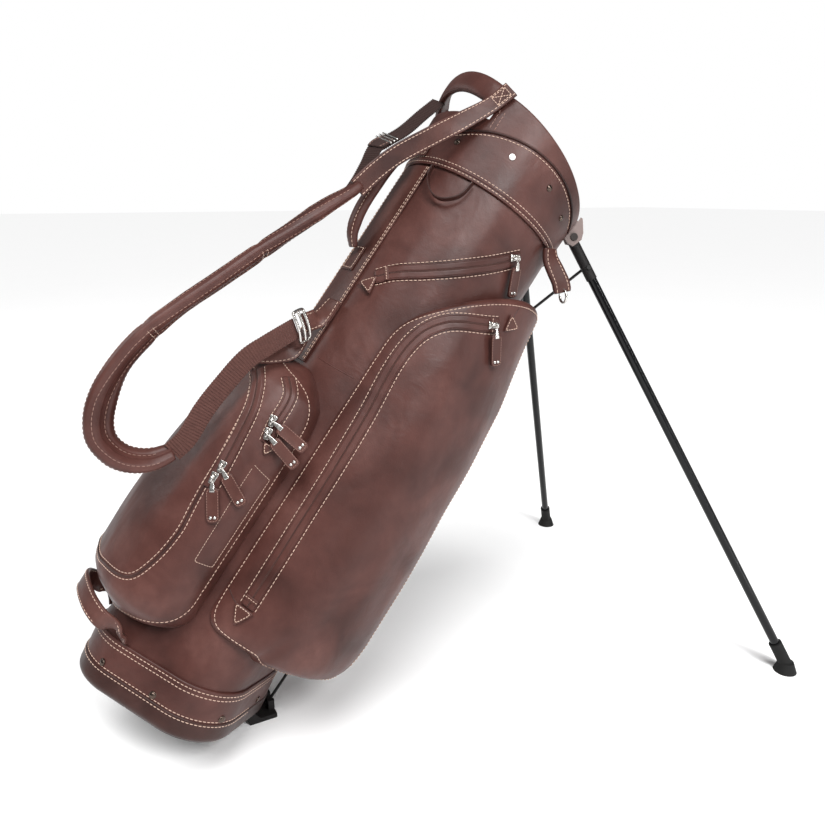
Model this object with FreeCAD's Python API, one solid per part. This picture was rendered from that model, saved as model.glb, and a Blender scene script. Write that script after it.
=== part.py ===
"""Leather golf bag with folding stand legs, standing on its legs.

Everything is drawn in the bag's own axes: a towards the legs, y across, h up along the bag's axis, with h = 0
at the bottom of the base. `place` then leans it. Millimetres.
"""
import FreeCAD
import Part
import math
import os

V = FreeCAD.Vector

# ---- stance ----
LEAN = 37.5                    # the bag's axis leans this far from upright, towards the legs
BASE_HEIGHT = 67.5             # height of the axis foot above the floor
FOOT_PAD_X = 100.0             # from the axis foot to the middle of the foot pad: the origin is there

# ---- body ----
BODY_R = 110.0
BODY_WALL = 2.6
LINING_R = 99.0
STAY_R = 3.0
STAY_AT = 102.6                # from the axis to a stay rod, in the round part
STAY_FOOT_AT = 85.0            # and where it stands in the base
STAY_KNEE_H = 262.0            # the stays bend here
BODY_TOP = 742.0
ROUND_FROM = 175.0             # above this the body is round, below it blends into the base section

# ---- base: a rounded square standing on its corner, bevelled towards the legs ----
BEVEL = 8.4
BASE_SIDE = 103.4              # middle to flat side
BASE_CORNER = 63.0             # radius of its corners
BASE_BOTTOM = 3.5              # lower face of the base, along the bevelled base's own axis
BASE_ROUND = 8.0               # roundness between its sides and its bottom
CUFF_HEIGHT = 68.0
CUP_HEIGHT = 40.0
CUFF_WALL = 2.6
RIM_BAND_HEIGHT = 30.0
STUD_HEIGHT = 36.0
BASE_STUDS = (18, 57, 100, 145)    # degrees from the spine, on both sides
BASE_STUD_R = 4.0

# ---- top ----
CUFF_BOTTOM = 722.0
CUFF_R = 112.7                 # outside of the top cuff at its lower edge
FLARE = 0.030                  # growth of radius per height
MOUTH_H = 810.0                # height of the mouth on the axis
MOUTH_SLOPE = 0.27             # the mouth is higher on the spine side
HAND_HOLE_FROM = 797.0
HINGE_CLEAR = 783.5            # on the belly the rim band starts above the leg heads
HAND_HOLE_HALF = 38.0          # half angle of the hand hole about the spine
TOP_STUDS = ((206, 758), (241, 771), (271, 771), (294, 760))    # degrees and height, near side
TOP_STUD_R = 3.6

# ---- legs ----
PIVOT = V(107.4, -57.8, 772.0)     # near leg pivot, bag axes
LEG_TUBE_R = 6.2
LEG_WALL = 1.0
HEAD_R = 7.2
FOOT_X, FOOT_Y = 815.8, 283.2      # near foot on the floor, measured from below the axis foot
LEG_FOOT_H = 9.0                   # height of the leg's axis at its foot
ROD_R = 2.0
ROD_AT = 45.0                      # rod eye, down the leg from its pivot
ROD_BEND = V(147.0, -17.5, 681.0)  # the near rod leans inwards down to here, then runs along the belly
ROD_LOW = V(127.0, -14.0, 32.0)    # lower end of the near rod
FOOT_PIN = V(80.5, 0, 26.0)
ROD_HOLE_R = 6.4
ROD_EYE_R = 1.6                    # cross hole in the leg for the rod's bent end
HINGE_PIN_R = 3.0                  # holes for the pins that the legs turn on
FOOT_PIN_R = 4.0                   # hole for the pin that the foot lever turns on
FIT = 0.05                         # radial running clearance

os.makedirs("parts", exist_ok=True)
lean = FreeCAD.Rotation(V(0, 1, 0), LEAN)
PLACE = FreeCAD.Placement(V(-FOOT_PAD_X, 0, BASE_HEIGHT), lean)
UPRIGHT = PLACE.inverse()


def write(name, *shapes):
    """Lean the finished pieces and write them as one node."""
    moved = []
    for shape in shapes:
        shape = shape.copy()
        shape.Placement = PLACE.multiply(shape.Placement)
        moved.append(shape)
    out = moved[0] if len(moved) == 1 else Part.makeCompound(moved)
    if not out.isValid():
        print("INVALID", name)
    out.exportStep(f"parts/{name}.step")
    box = out.BoundBox
    size = f"{box.XLength:7.1f} {box.YLength:7.1f} {box.ZLength:7.1f}"
    print(f"{name:26s} {size}  volume {out.Volume / 1000:8.1f} cm3  lowest {box.ZMin:7.2f}")


def polar(r, degrees, h=0.0):
    angle = math.radians(degrees)
    return V(r * math.cos(angle), r * math.sin(angle), h)


def cylinder(r, h0, h1):
    return Part.makeCylinder(r, h1 - h0, V(0, 0, h0))


def tube(r_out, r_in, h0, h1):
    return cylinder(r_out, h0, h1).cut(cylinder(r_in, h0 - 1, h1 + 1))


def rod(start, end, r):
    return Part.makeCylinder(r, (end - start).Length, start, end - start)


def polygon(points):
    return Part.makePolygon(list(points) + [points[0]])


def prism(points, depth):
    """Extrude a closed outline of points by a vector."""
    return Part.Face(polygon(points)).extrude(depth)


def ruled(sections):
    return Part.makeLoft([polygon(points) for points in sections], True, True)


def mirrored(shape):
    return shape.mirror(V(0, 0, 0), V(0, 1, 0))


def sector(h0, h1, middle, half, reach=260.0):
    """A wedge about the axis, from middle - half to middle + half degrees."""
    steps = 6
    angles = [middle - half + 2 * half * i / steps for i in range(steps + 1)]
    return prism([V(0, 0, h0)] + [polar(reach, angle, h0) for angle in angles], V(0, 0, h1 - h0))


# ---------------------------------------------------------------- base

def base_wire(inset, h, scale=1.0):
    """Rounded square on its corner, as four arcs and four lines, starting on the +a corner."""
    side = (BASE_SIDE - inset) * scale
    corner = (BASE_CORNER - inset) * scale
    reach = (side - corner) * math.sqrt(2)
    edges = []
    for quarter in range(4):
        middle = 90 * quarter
        centre = polar(reach, middle, h)
        arc = [centre + polar(corner, middle + turn) for turn in (-45, 0, 45)]
        edges.append(Part.Arc(*arc).toShape())
        following = polar(reach, middle + 90, h) + polar(corner, middle + 45)
        edges.append(Part.LineSegment(arc[2], following).toShape())
    return Part.Wire(edges)


def round_wire(r, h):
    """The same eight edges on a circle, so that the two sections loft edge to edge."""
    edges = []
    for quarter in range(4):
        middle = 90 * quarter
        for turn in ((-25, 0, 25), (25, 45, 65)):
            edges.append(Part.Arc(*[polar(r, middle + t, h) for t in turn]).toShape())
    return Part.Wire(edges)


def base_block(inset, h0, h1):
    return Part.Face(base_wire(inset, h0)).extrude(V(0, 0, h1 - h0))


def base_bowl(inset, h1):
    """The base's outside moved inwards by inset, its bottom edge rounded."""
    h0 = BASE_BOTTOM + inset
    block = base_block(inset, h0, h1)
    bottom = [edge for edge in block.Edges if edge.BoundBox.ZMax < h0 + 0.01]
    return block.makeFillet(BASE_ROUND - inset, bottom)


def bevelled(shape):
    """Tip a base piece about the across axis: its leg side stands higher on the bag."""
    shape = shape.copy()
    shape.rotate(V(0, 0, 0), V(0, 1, 0), -BEVEL)
    return shape


def bevel_height(a, above):
    return a * math.tan(math.radians(BEVEL)) + above


def base_pieces():
    slot = Part.makeBox(46, 76, 40, V(62, -38, -10))
    floor = BASE_BOTTOM + CUFF_WALL + 0.1
    cup = base_bowl(CUFF_WALL + 0.1, CUP_HEIGHT).cut(base_bowl(CUFF_WALL + 3.6, CUP_HEIGHT + 1)).cut(slot)
    ears = []
    for y in (-48, 38.6):
        ears.append(Part.makeBox(20, 9.4, 20, V(73, y, floor + 3.0)))
    cup = cup.fuse(ears).removeSplitter()
    cup = bevelled(cup)
    pin_hole = rod(V(FOOT_PIN.x, -60, FOOT_PIN.z), V(FOOT_PIN.x, 60, FOOT_PIN.z), FOOT_PIN_R)
    write("base_cup", cup.cut(pin_hole))
    opening = base_block(22, -5, 20)
    cuff = base_bowl(0, CUFF_HEIGHT).cut(base_bowl(CUFF_WALL, CUFF_HEIGHT + 1)).cut(opening)
    write("base_cuff", bevelled(cuff.cut(slot)))
    band = base_bowl(-1.3, RIM_BAND_HEIGHT).cut(base_bowl(-0.05, RIM_BAND_HEIGHT + 1))
    band = band.cut(base_block(14, -5, 20)).cut(slot)
    write("base_rim_band", bevelled(band))
    sole = base_block(22.2, BASE_BOTTOM - 1.0, floor - 0.1).cut(slot)
    write("base_sole", bevelled(sole))
    write("base_studs", *[base_stud(180 + side * angle) for angle in BASE_STUDS for side in (1, -1)])
    pins = [rod(V(FOOT_PIN.x, -47.5, FOOT_PIN.z), V(FOOT_PIN.x, 47.5, FOOT_PIN.z), FOOT_PIN_R - FIT)]
    for side in (1, -1):
        pivot = V(PIVOT.x, side * PIVOT.y, PIVOT.z)
        axis = pin_axis(side)
        pin = rod(pivot - axis * 9.7, pivot + axis * 9.7, HINGE_PIN_R - FIT)
        heads = [rod(pivot + axis * start, pivot + axis * (start + 1.7), 5.0) for start in (9.65, -11.35)]
        pins.append(pin.fuse(heads))
    write("hinge_pins", *pins)


def base_stud(degrees):
    """Stud square to the base's side, in the given direction from the axis."""
    turn = (degrees + 45) % 90 - 45
    corner = (BASE_SIDE - BASE_CORNER) * math.sqrt(2)
    across = corner * math.sin(math.radians(turn))
    reach = corner * math.cos(math.radians(turn)) + math.sqrt(BASE_CORNER ** 2 - across ** 2)
    out = polar(reach, turn) - V(corner, 0, 0)
    if abs(out.y) > out.x:
        reach = BASE_SIDE / math.cos(math.radians(45 - abs(turn)))
        out = V(1, math.copysign(1, turn), 0)
    out = FreeCAD.Rotation(V(0, 0, 1), degrees - turn).multVec(out.normalize())
    point = polar(reach, degrees, STUD_HEIGHT)
    return bevelled(rod(point + out * 0.05, point + out * 2.4, BASE_STUD_R))


# ---------------------------------------------------------------- body

def body_solid(inset):
    """The body's lower part, straight inside the base and then blending to round, and its round part."""
    low = bevelled(base_block(CUFF_WALL + 0.2 + inset, CUP_HEIGHT + 0.1, CUFF_HEIGHT + 1))
    wire = bevelled(Part.Face(base_wire(CUFF_WALL + 0.2 + inset, CUFF_HEIGHT + 1))).OuterWire
    blend = Part.makeLoft([wire, round_wire(BODY_R - inset, ROUND_FROM)], True, True)
    return low.fuse(blend), cylinder(BODY_R - inset, ROUND_FROM, BODY_TOP)


def shell_of(inset_out, inset_in):
    blend_out, round_out = body_solid(inset_out)
    blend_in, round_in = body_solid(inset_in)
    upper = round_out.cut(cylinder(BODY_R - inset_in, ROUND_FROM - 1, BODY_TOP + 1))
    return blend_out.cut(blend_in).fuse(upper)


def body_pieces():
    write("body_shell", shell_of(0, BODY_WALL))
    lining = tube(LINING_R, LINING_R - 1.0, 266, BODY_TOP - 2)
    write("inner_lining", lining)
    stays = []
    for angle in (60, 180, 300):
        foot = polar(STAY_FOOT_AT, angle, bevel_height(polar(STAY_FOOT_AT, angle).x, 16))
        knee = polar(STAY_AT, angle, STAY_KNEE_H)
        head = polar(STAY_AT, angle, BODY_TOP - 6)
        stays.append(rod(foot, knee, STAY_R).fuse([rod(knee, head, STAY_R), Part.makeSphere(STAY_R, knee)]))
    write("stay_rods", *stays)
    strip = tube(BODY_R + 2.0, BODY_R + 0.1, 437, CUFF_BOTTOM - 1).common(sector(400, 760, 180, 17))
    write("spine_strip", strip)


# ---------------------------------------------------------------- top

def flare_cone(offset, h0, h1):
    """Cone that grows with the flare; offset is measured from the cuff's outside."""
    low = CUFF_R + offset + FLARE * (h0 - CUFF_BOTTOM)
    high = CUFF_R + offset + FLARE * (h1 - CUFF_BOTTOM)
    return Part.makeCone(low, high, h1 - h0, V(0, 0, h0))


def flare_shell(outer, inner, h0, h1):
    return flare_cone(outer, h0, h1).cut(flare_cone(inner, h0 - 1, h1 + 1))


def below_plane(height, slope_a, slope_y):
    """Everything below h = height + slope_a * a + slope_y * y, near the bag."""
    reach = 400
    corners = []
    for a, y in ((-reach, -reach), (reach, -reach), (reach, reach), (-reach, reach)):
        corners.append(V(a, y, height + slope_a * a + slope_y * y))
    return prism(corners, V(0, 0, -1500))


def hand_hole(h_from=HAND_HOLE_FROM):
    return sector(h_from, h_from + 150, 180, HAND_HOLE_HALF)


def top_pieces():
    mouth = below_plane(MOUTH_H, -MOUTH_SLOPE, 0)
    edge = [below_plane(735, -0.12, side * 0.5) for side in (1, -1)]
    belly = sector(700, HINGE_CLEAR, 0, 42)
    both_below = edge[0].fuse([edge[1], belly])
    frame = flare_shell(-2.6, -8.0, BODY_TOP + 0.5, 860)
    inner_mouth = below_plane(MOUTH_H - 3, -MOUTH_SLOPE, 0)
    write("top_frame", frame.common(inner_mouth).cut(hand_hole(HAND_HOLE_FROM - 2)))
    cuff = flare_shell(0, -2.4, CUFF_BOTTOM, 860).common(both_below).common(mouth)
    write("top_cuff", cuff)
    band = flare_shell(2.0, -2.4, 730, 860).cut(both_below).common(mouth).cut(hand_hole())
    write("rim_band", band)
    write("top_handle", lift_handle())
    studs = []
    for angle, h in TOP_STUDS:
        for degrees in (angle, 360 - angle):
            r = CUFF_R + FLARE * (h - CUFF_BOTTOM) + 0.1
            studs.append(rod(polar(r, degrees, h), polar(r + 2.2, degrees, h), TOP_STUD_R))
    write("top_studs", *studs)
    write("club_divider", club_divider())


def lift_handle(grow=0.0):
    """Padded leather arch over the hand hole, a little higher than the rim."""
    sections = []
    half = HAND_HOLE_HALF - 0.4 + grow / 2
    steps = 10
    for i in range(steps + 1):
        angle = 180 - half + 2 * half * i / steps
        rise = math.sin(math.pi * i / steps)
        centre_r, centre_h = 116.5 + 3.5 * rise, 824 + 14 * rise
        section = []
        for k in range(10):
            turn = 2 * math.pi * k / 10
            r = centre_r + (6.0 + grow) * math.cos(turn)
            section.append(polar(r, angle, centre_h + (14.5 + grow) * math.sin(turn)))
        sections.append(section)
    return ruled(sections)


def club_divider():
    """Two padded cross bars inside the mouth, held in a ring."""
    outer = CUFF_R - 8.2
    ring = tube(outer, outer - 4, 744, 786)
    along = Part.makeBox(2 * outer, 9, 40, V(-outer, -4.5, 745))
    across = Part.makeBox(9, 2 * outer, 40, V(-4.5, -outer, 745))
    cross = along.fuse(across).common(cylinder(outer - 2, 700, 800))
    return ring.fuse(cross).common(below_plane(MOUTH_H - 12, -MOUTH_SLOPE, 0))


# ---------------------------------------------------------------- pockets

# pocket sections: (degrees about the axis, share of the full bulge)
GARMENT_ROUND = ((237, 0.02), (242, 0.13), (249, 0.26), (258, 0.42), (270, 0.60), (284, 0.77), (300, 0.91),
                 (312, 0.98), (319, 0.98), (321.5, 0.90), (322, 0.02))
# heights: (h, bulge, share of the span used)
GARMENT_RISE = ((121, 34), (130, 58), (152, 68), (185, 71), (310, 67), (420, 61), (510, 54), (565, 45),
                (615, 37), (655, 32))
GARMENT_TOP = (496, 0.679, -0.858)      # its slanting top edge: height and slopes

BALL_ROUND = ((-50.5, 0.0), (-49, 0.25), (-46, 0.49), (-40, 0.71), (-30, 0.90), (-20, 0.99), (-8, 1.0))
BALL_ROUND = BALL_ROUND + tuple((-turn, share) for turn, share in reversed(BALL_ROUND))
BALL_RISE = ((79, 15, 0.28), (84, 29, 0.50), (93, 43, 0.70), (103, 56, 0.87), (115, 64, 0.97), (130, 66, 1.0),
             (180, 67, 1.0), (255, 64, 1.0),
             (356, 55, 1.0), (395, 49, 0.94), (412, 40, 0.80), (424, 24, 0.66), (431, 8, 0.52))


def pocket_section(outline, bulge, h, inset):
    """Closed outline: out along the bulge and back inside the body's wall."""
    skin = BODY_R + 1.0 - inset
    outer = [polar(skin + max(bulge - inset, 1) * share, angle, h) for angle, share in outline]
    inner = [polar(92.0, angle, h) for angle, _ in reversed(outline[::3])]
    return outer + inner


def garment_solid(inset, lift=0.0):
    sections = []
    for h, bulge in GARMENT_RISE:
        trim = 0.0 if inset <= 0 else inset * 0.9
        outline = [(min(max(angle, 237 + trim), 322 - trim), share) for angle, share in GARMENT_ROUND]
        outline = [(angle + 0.001 * i, share) for i, (angle, share) in enumerate(outline)]
        sections.append(pocket_section(outline, bulge + lift, h, inset))
    solid = ruled(sections)
    height, slope_a, slope_y = GARMENT_TOP
    return solid.common(below_plane(height - inset * 1.4, slope_a, slope_y))


def ball_solid(inset, lift=0.0):
    sections = []
    for h, bulge, span in BALL_RISE:
        width = span * (1 - 0.012 * inset)
        outline = [(180 + turn * width, share) for turn, share in BALL_ROUND]
        sections.append(pocket_section(outline, bulge + lift, h, inset))
    return ruled(sections)


def round_body():
    """The body's outside with a hair of room, to cut the pockets to."""
    blend = body_solid(-0.15)[0]
    return blend.fuse(cylinder(BODY_R + 0.15, ROUND_FROM, 900))


def band_prism(route, width, y0, y1):
    """A strip of the given width that follows a route in (a, h), extruded across."""
    left, right = [], []
    for i, (a, h) in enumerate(route):
        before, after = route[max(i - 1, 0)], route[min(i + 1, len(route) - 1)]
        da, dh = after[0] - before[0], after[1] - before[1]
        length = math.hypot(da, dh)
        na, nh = -dh / length * width / 2, da / length * width / 2
        left.append(V(a + na, y0, h + nh))
        right.append(V(a - na, y0, h - nh))
    return prism(left + right[::-1], V(0, y1 - y0, 0))


# routes of the zips, seen square to the near side (a, h); the garment zip runs from its lower tab up and over
GARMENT_ZIP = [(-41, 172), (-42, 280), (-43, 421), (-46, 486), (-44, 521), (-36, 547), (-19, 568), (21, 591),
               (31, 597)]
BALL_ZIP_FRONT = [(-141.5, 264), (-142, 300), (-143, 331), (-144.5, 363), (-149, 388), (-152, 400)]
BALL_ZIP_BACK = [(-117, 338), (-120, 362), (-119, 385), (-120, 398), (-126, 412)]
SIDE_ZIP = [(-97, 567), (-86, 583), (-66, 601), (-40, 624), (-6, 655), (24, 685)]


def pocket_pieces():
    body = round_body()
    near = garment_solid(0).cut(garment_solid(2.4)).cut(body)
    write("garment_pocket_near", near)
    write("garment_pocket_far", mirrored(near))
    ball = ball_solid(0).cut(ball_solid(2.4)).cut(body)
    write("ball_pocket", ball)
    raised = garment_solid(-0.05, 1.6).cut(garment_solid(-0.05, 0.05))
    zip_near = raised.common(band_prism(GARMENT_ZIP, 20, -230, -100))
    write("garment_zip_near", zip_near)
    write("garment_zip_far", mirrored(zip_near))
    raised = ball_solid(-0.05, 1.6).cut(ball_solid(-0.05, 0.05))
    write("ball_zip_front", raised.common(band_prism(BALL_ZIP_FRONT, 22, -160, -30)))
    write("ball_zip_back", raised.common(band_prism(BALL_ZIP_BACK, 18, -190, -40)))
    sleeve = tube(BODY_R + 1.9, BODY_R + 0.2, 500, 740)
    write("side_zip", sleeve.common(band_prism(SIDE_ZIP, 20, -150, -30)))


# ---------------------------------------------------------------- zip sliders and pullers

def frame_at(point, along, out):
    """Placement with X along, Z outwards."""
    along = V(along).normalize()
    out = V(out)
    out = (out - along * out.dot(along)).normalize()
    across = out.cross(along)
    return FreeCAD.Placement(FreeCAD.Matrix(along.x, across.x, out.x, point.x,
                                            along.y, across.y, out.y, point.y,
                                            along.z, across.z, out.z, point.z,
                                            0, 0, 0, 1))


BRIDGE_H = 7.0                 # middle of the slider's bridge above its underside
LINK_R = 3.4                   # ring between puller and bridge
PULLER_FROM = 11.0             # start of the leather tab, from the middle of the ring
PULLER_LENGTH = 38.0
PULLER_TILT = 7.0              # the puller dips this much until its end lies on the leather


def slider_shape():
    """Cast zip slider: a shield-shaped body under a bridge that the puller's ring goes round."""
    outline = [V(-6.5, -3.4, 0), V(6.5, -4.8, 0), V(6.5, 4.8, 0), V(-6.5, 3.4, 0)]
    body = prism(outline, V(0, 0, 2.6))
    posts = [Part.makeBox(1.4, 1.6, BRIDGE_H - 2.6, V(x, -0.8, 2.6)) for x in (-4.9, 3.5)]
    bar = Part.makeBox(9.8, 1.4, 1.2, V(-4.9, -0.7, BRIDGE_H - 0.6))
    return body.fuse(posts + [bar])


def puller_shape():
    """Leather puller with a flat steel ring, hanging along +X from the ring's centre."""
    outer, inner = [rod(V(0, -0.6, 0), V(0, 0.6, 0), LINK_R + side * 0.55) for side in (1, -1)]
    ring = outer.cut(inner)
    arm = Part.makeBox(8.5, 1.8, 1.0, V(LINK_R, -0.9, -0.5))
    tab = Part.makeBox(PULLER_LENGTH, 14, 3.0, V(PULLER_FROM, -7, -1.5))
    return ring.fuse([arm, tab])


def zip_fittings():
    """Name, point, outward, zip and hanging directions of each slider with its puller.

    A puller hangs straight down along the leather, or is turned from that where its neighbour is in the way.
    """
    down = UPRIGHT.Rotation.multVec(V(0, 0, -1))
    spots = (("garment_near", V(23.5, -139.1, 592.5), V(-0.06, -0.99, 0.12), V(-0.86, 0.1, -0.49), 0),
             ("side", polar(BODY_R + 2.7, 277.5, 680), polar(1, 277.5), V(-0.75, 0, -0.66), 0),
             ("ball_front_low", V(-143.2, -87.3, 275.6), V(-0.54, -0.84, 0.07), V(-0.04, 0.11, 0.99), 0),
             ("ball_front_high", V(-142.0, -86.6, 290.5), V(-0.54, -0.84, 0.07), V(-0.04, 0.11, 0.99), 28),
             ("ball_back_low", V(-121.6, -95.3, 347.3), V(-0.54, -0.84, 0.07), V(-0.14, 0.2, 0.97), 40),
             ("ball_back_high", V(-123.8, -92.2, 361.9), V(-0.54, -0.84, 0.07), V(-0.14, 0.2, 0.97), 48))
    found = []
    for name, point, out, along, turn in spots:
        out = V(out).normalize()
        hang = (down - out * down.dot(out)).normalize()
        hang = FreeCAD.Rotation(out, turn).multVec(hang)
        found.append((name, point, out, V(along).normalize(), hang))
    name, point, out, along, hang = found[0]
    flip = [V(v.x, -v.y, v.z) for v in (point, out, along, hang)]
    found.append(("garment_far", *flip))
    return found


def fitting_pieces():
    tilt = math.radians(PULLER_TILT)
    for name, point, out, along, hang in zip_fittings():
        slider = slider_shape()
        slider.Placement = frame_at(point, along, out)
        write(f"slider_{name}", slider)
        puller = puller_shape()
        lying = hang * math.cos(tilt) - out * math.sin(tilt)
        puller.Placement = frame_at(point + out * BRIDGE_H, lying, out)
        write(f"puller_{name}", puller)


# ---------------------------------------------------------------- straps and handles

def swept(points, wide, thick, faces, sides=4):
    """Strap or pad along 3-D points. Its flat side looks along faces: one direction, or one for each point.

    Four sides make a flat strap, more make a rounded pad, which thins out towards both ends.
    """
    if not isinstance(faces, (list, tuple)):
        faces = [faces] * len(points)
    last = len(points) - 1
    sections = []
    for i, point in enumerate(points):
        ahead = points[min(i + 1, len(points) - 1)] - points[max(i - 1, 0)]
        across = ahead.cross(faces[i]).normalize()
        normal = across.cross(ahead).normalize()
        section = []
        for k in range(sides):
            turn = 2 * math.pi * (k + 0.5) / sides
            grow = math.sqrt(2) if sides == 4 else min(1.0, 0.62 + 0.19 * min(i, last - i))
            section.append(point + across * (grow * wide / 2 * math.cos(turn))
                           + normal * (grow * thick / 2 * math.sin(turn)))
        sections.append(section)
    return ruled(sections)


STRAP_Y = -60.0                # the strap hangs in a plane on the near side of the ball pocket
PAD_ROUTE = [(-178, 636), (-183, 623), (-196, 595), (-213, 552), (-231, 506), (-250, 458), (-268, 413),
             (-281, 368), (-286, 327), (-280, 288), (-266, 260), (-247, 248), (-226, 247), (-205, 257),
             (-189, 276)]
# degrees that the pad's flat side turns to the near side
PAD_TURN = [0, 0, 0, 10, 22, 20, 20, 32, 34, 50, 48, 34, 30, 30, 30]
WEBBING_ROUTE = [(-187, 279), (-183, 296), (-185, 333), (-182, 367), (-176, 405), (-164, 432)]


def strap_pieces():
    outward = V(0, -1, 0)
    pad = [V(a, STRAP_Y, h) for a, h in PAD_ROUTE]
    faces = []
    for i, turn in enumerate(PAD_TURN):
        ahead = pad[min(i + 1, len(pad) - 1)] - pad[max(i - 1, 0)]
        across_loop = outward.cross(ahead).normalize()
        faces.append(across_loop * math.cos(math.radians(turn)) + outward * math.sin(math.radians(turn)))
    pad = swept(pad, 38, 18, faces, 10)
    write("shoulder_pad", pad)
    lower = [V(a, STRAP_Y, h) for a, h in WEBBING_ROUTE]
    lower += [V(-154, -54, 448), V(-143, -46, 464)]
    webbing = swept(lower, 25, 3.0, outward).cut(pad)
    loose = [V(-127, -32, 462), V(-127, -32, 440), V(-140, -34, 427), V(-163, -38, 413)]
    tail = swept(loose, 22, 2.4, V(-0.4, -1, 0.5))
    write("strap_lower_webbing", webbing, tail)
    write("slide_buckle", slide_buckle())
    anchor = [V(-137, -42, 474), V(-127, -36, 484), V(-116.5, -27, 496), V(-112.8, -25, 520)]
    write("strap_anchor", swept(anchor, 24, 3.0, [outward, outward, V(-0.8, -0.6, 0), polar(1, 192.5)]))
    on_rim = polar(1, 218)
    near = [polar(122.8, 220, 838), polar(122.4, 215, 812), V(-117, -64, 776), V(-140, -62, 733),
            V(-160, -60, 693), V(-171, -60, 662), V(-177, -60, 634)]
    faces = [on_rim, on_rim, V(-0.5, -0.86, 0)] + [outward] * 4
    write("strap_near", swept(near, 23, 3.2, faces).cut(lift_handle(0.1)).cut(pad))
    far = [polar(122.5, 158, 819), V(-126, 35, 788), V(-141, 20, 748), V(-159, 5, 715), V(-166, 0, 701),
           V(-168, -15, 675), V(-170, -25, 657), V(-177, -46, 634)]
    far_strap = swept(far, 20, 3.0, V(-0.8, -0.6, 0)).cut(swept(near, 23, 3.4, faces))
    write("strap_far", far_strap.cut(lift_handle(0.1)).cut(pad))


def slide_buckle():
    """Three-bar steel slide between the lower webbing and the anchor tab."""
    centre = V(-140, -44, 469)
    along = V(16, 12, 20).normalize()
    across = along.cross(V(0, -1, 0)).normalize()
    out = across.cross(along)
    bars = []
    for k in (-1, 0, 1):
        middle = centre + along * (7.0 * k) + out * 4.3
        bars.append(rod(middle - across * 17, middle + across * 17, 1.6))
    for k in (-1, 1):
        start = centre + across * (17.0 * k) + out * 4.3 - along * 7.0
        bars.append(rod(start, start + along * 14.0, 1.6))
        bars.append(Part.makeSphere(1.6, start))
        bars.append(Part.makeSphere(1.6, start + along * 14.0))
    return bars[0].fuse(bars[1:])


RING_AT = V(96.8, -117.7, 690.8)       # eyelet near the strap's end, which the ring goes through
RING_HANG = V(7, -1, -9).normalize()   # the ring hangs on along the strap
RING_R = 8.5
EYELET_R = 2.4


def eyelet_axis():
    """Square to the strap's flat side at its end."""
    face = V(-0.3, -0.9, 0.1)
    return (face - RING_HANG * face.dot(RING_HANG)).normalize()


def handle_pieces():
    carry = [V(-122.4, 0, 741), V(-131, 0, 724), V(-138, 0, 700), V(-140, 0, 665), V(-139, 0, 630),
             V(-132, 0, 604), V(-120.6, 0, 590)]
    write("carry_handle", swept(carry, 22, 15, V(-1, 0, 0), 10))
    loop = [polar(116.6, 201, 719), polar(117.5, 203, 704), polar(118.5, 210, 689),
            polar(118.5, 216, 683.5), polar(118.5, 222, 686), polar(117.5, 228, 699), polar(116.6, 230, 719)]
    inward = [V(0, 0, 1)] * len(loop)
    for i, point in enumerate(loop):
        inward[i] = polar(1, 216, 0).cross(loop[min(i + 1, 6)] - loop[max(i - 1, 0)])
    write("towel_loop", swept(loop, 8, 2.2, inward))
    belly = [polar(115.6, 300, 722), polar(121, 303, 713), V(80, -112, 706), V(92, -117, 697),
             V(99, -118, 688)]
    faces = [polar(1, 300), polar(1, 298), V(0.1, -1, 0.1), V(-0.2, -1, 0.1), V(-0.3, -0.9, 0.1)]
    eyelet = rod(RING_AT - eyelet_axis() * 9, RING_AT + eyelet_axis() * 9, EYELET_R)
    write("belly_strap", swept(belly, 23, 3.4, faces).cut(eyelet))
    ring = Part.makeTorus(RING_R, 1.5, RING_AT + RING_HANG * RING_R, RING_HANG.cross(eyelet_axis()))
    write("strap_ring", ring)
    half = [V(-113.0, -44.2, 57), V(-119, -47, 65), V(-131, -52, 70), V(-148, -52, 73), V(-161, -39, 77),
            V(-168, -20, 80)]
    grab = half + [V(-170, 0, 81)] + [V(p.x, -p.y, p.z) for p in half[::-1]]
    faces = [V(p.x, p.y, 0).normalize() for p in grab]
    write("base_grab_handle", swept(grab, 23, 4.4, faces))
    tabs = []
    for middle, out, turn, size in TAB_SPOTS:
        outline = []
        for k in range(3):
            angle = math.radians(turn + 120 * k)
            outline.append(V(size * math.cos(angle), size * math.sin(angle), 0))
        tab = prism(outline, V(0, 0, 1.8))
        tab.Placement = frame_at(middle, V(0, 0, 1), out)
        tabs.append(tab)
    write("zip_end_tabs", *tabs)


# triangular tabs over the zip ends: middle, outward direction, turn, size
TAB_SPOTS = ((V(-43.5, -125.6, 163), V(-0.69, -0.72, 0), 180, 12),
             (V(47, -134.9, 608), V(0.1, -0.98, 0.12), 40, 11),
             (polar(112.6, 208, 556), polar(1, 208), 220, 11),
             (V(-114.2, -99.4, 334), V(-0.2, -0.98, 0), 180, 9))


# ---------------------------------------------------------------- stand

def pin_axis(side):
    """Direction of a leg's hinge pin, pointing away from the bag's middle; side 1 is near, -1 is far."""
    axis = V(0, 0, -1).cross(leg_direction(1)).normalize()
    return V(axis.x, side * axis.y, 0)


def leg_direction(side):
    foot = UPRIGHT.multVec(V(FOOT_X - FOOT_PAD_X, -FOOT_Y, LEG_FOOT_H))
    direction = foot - PIVOT
    direction.normalize()
    return V(direction.x, side * direction.y, direction.z)


def leg_length():
    foot = UPRIGHT.multVec(V(FOOT_X - FOOT_PAD_X, -FOOT_Y, LEG_FOOT_H))
    return (foot - PIVOT).Length


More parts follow.
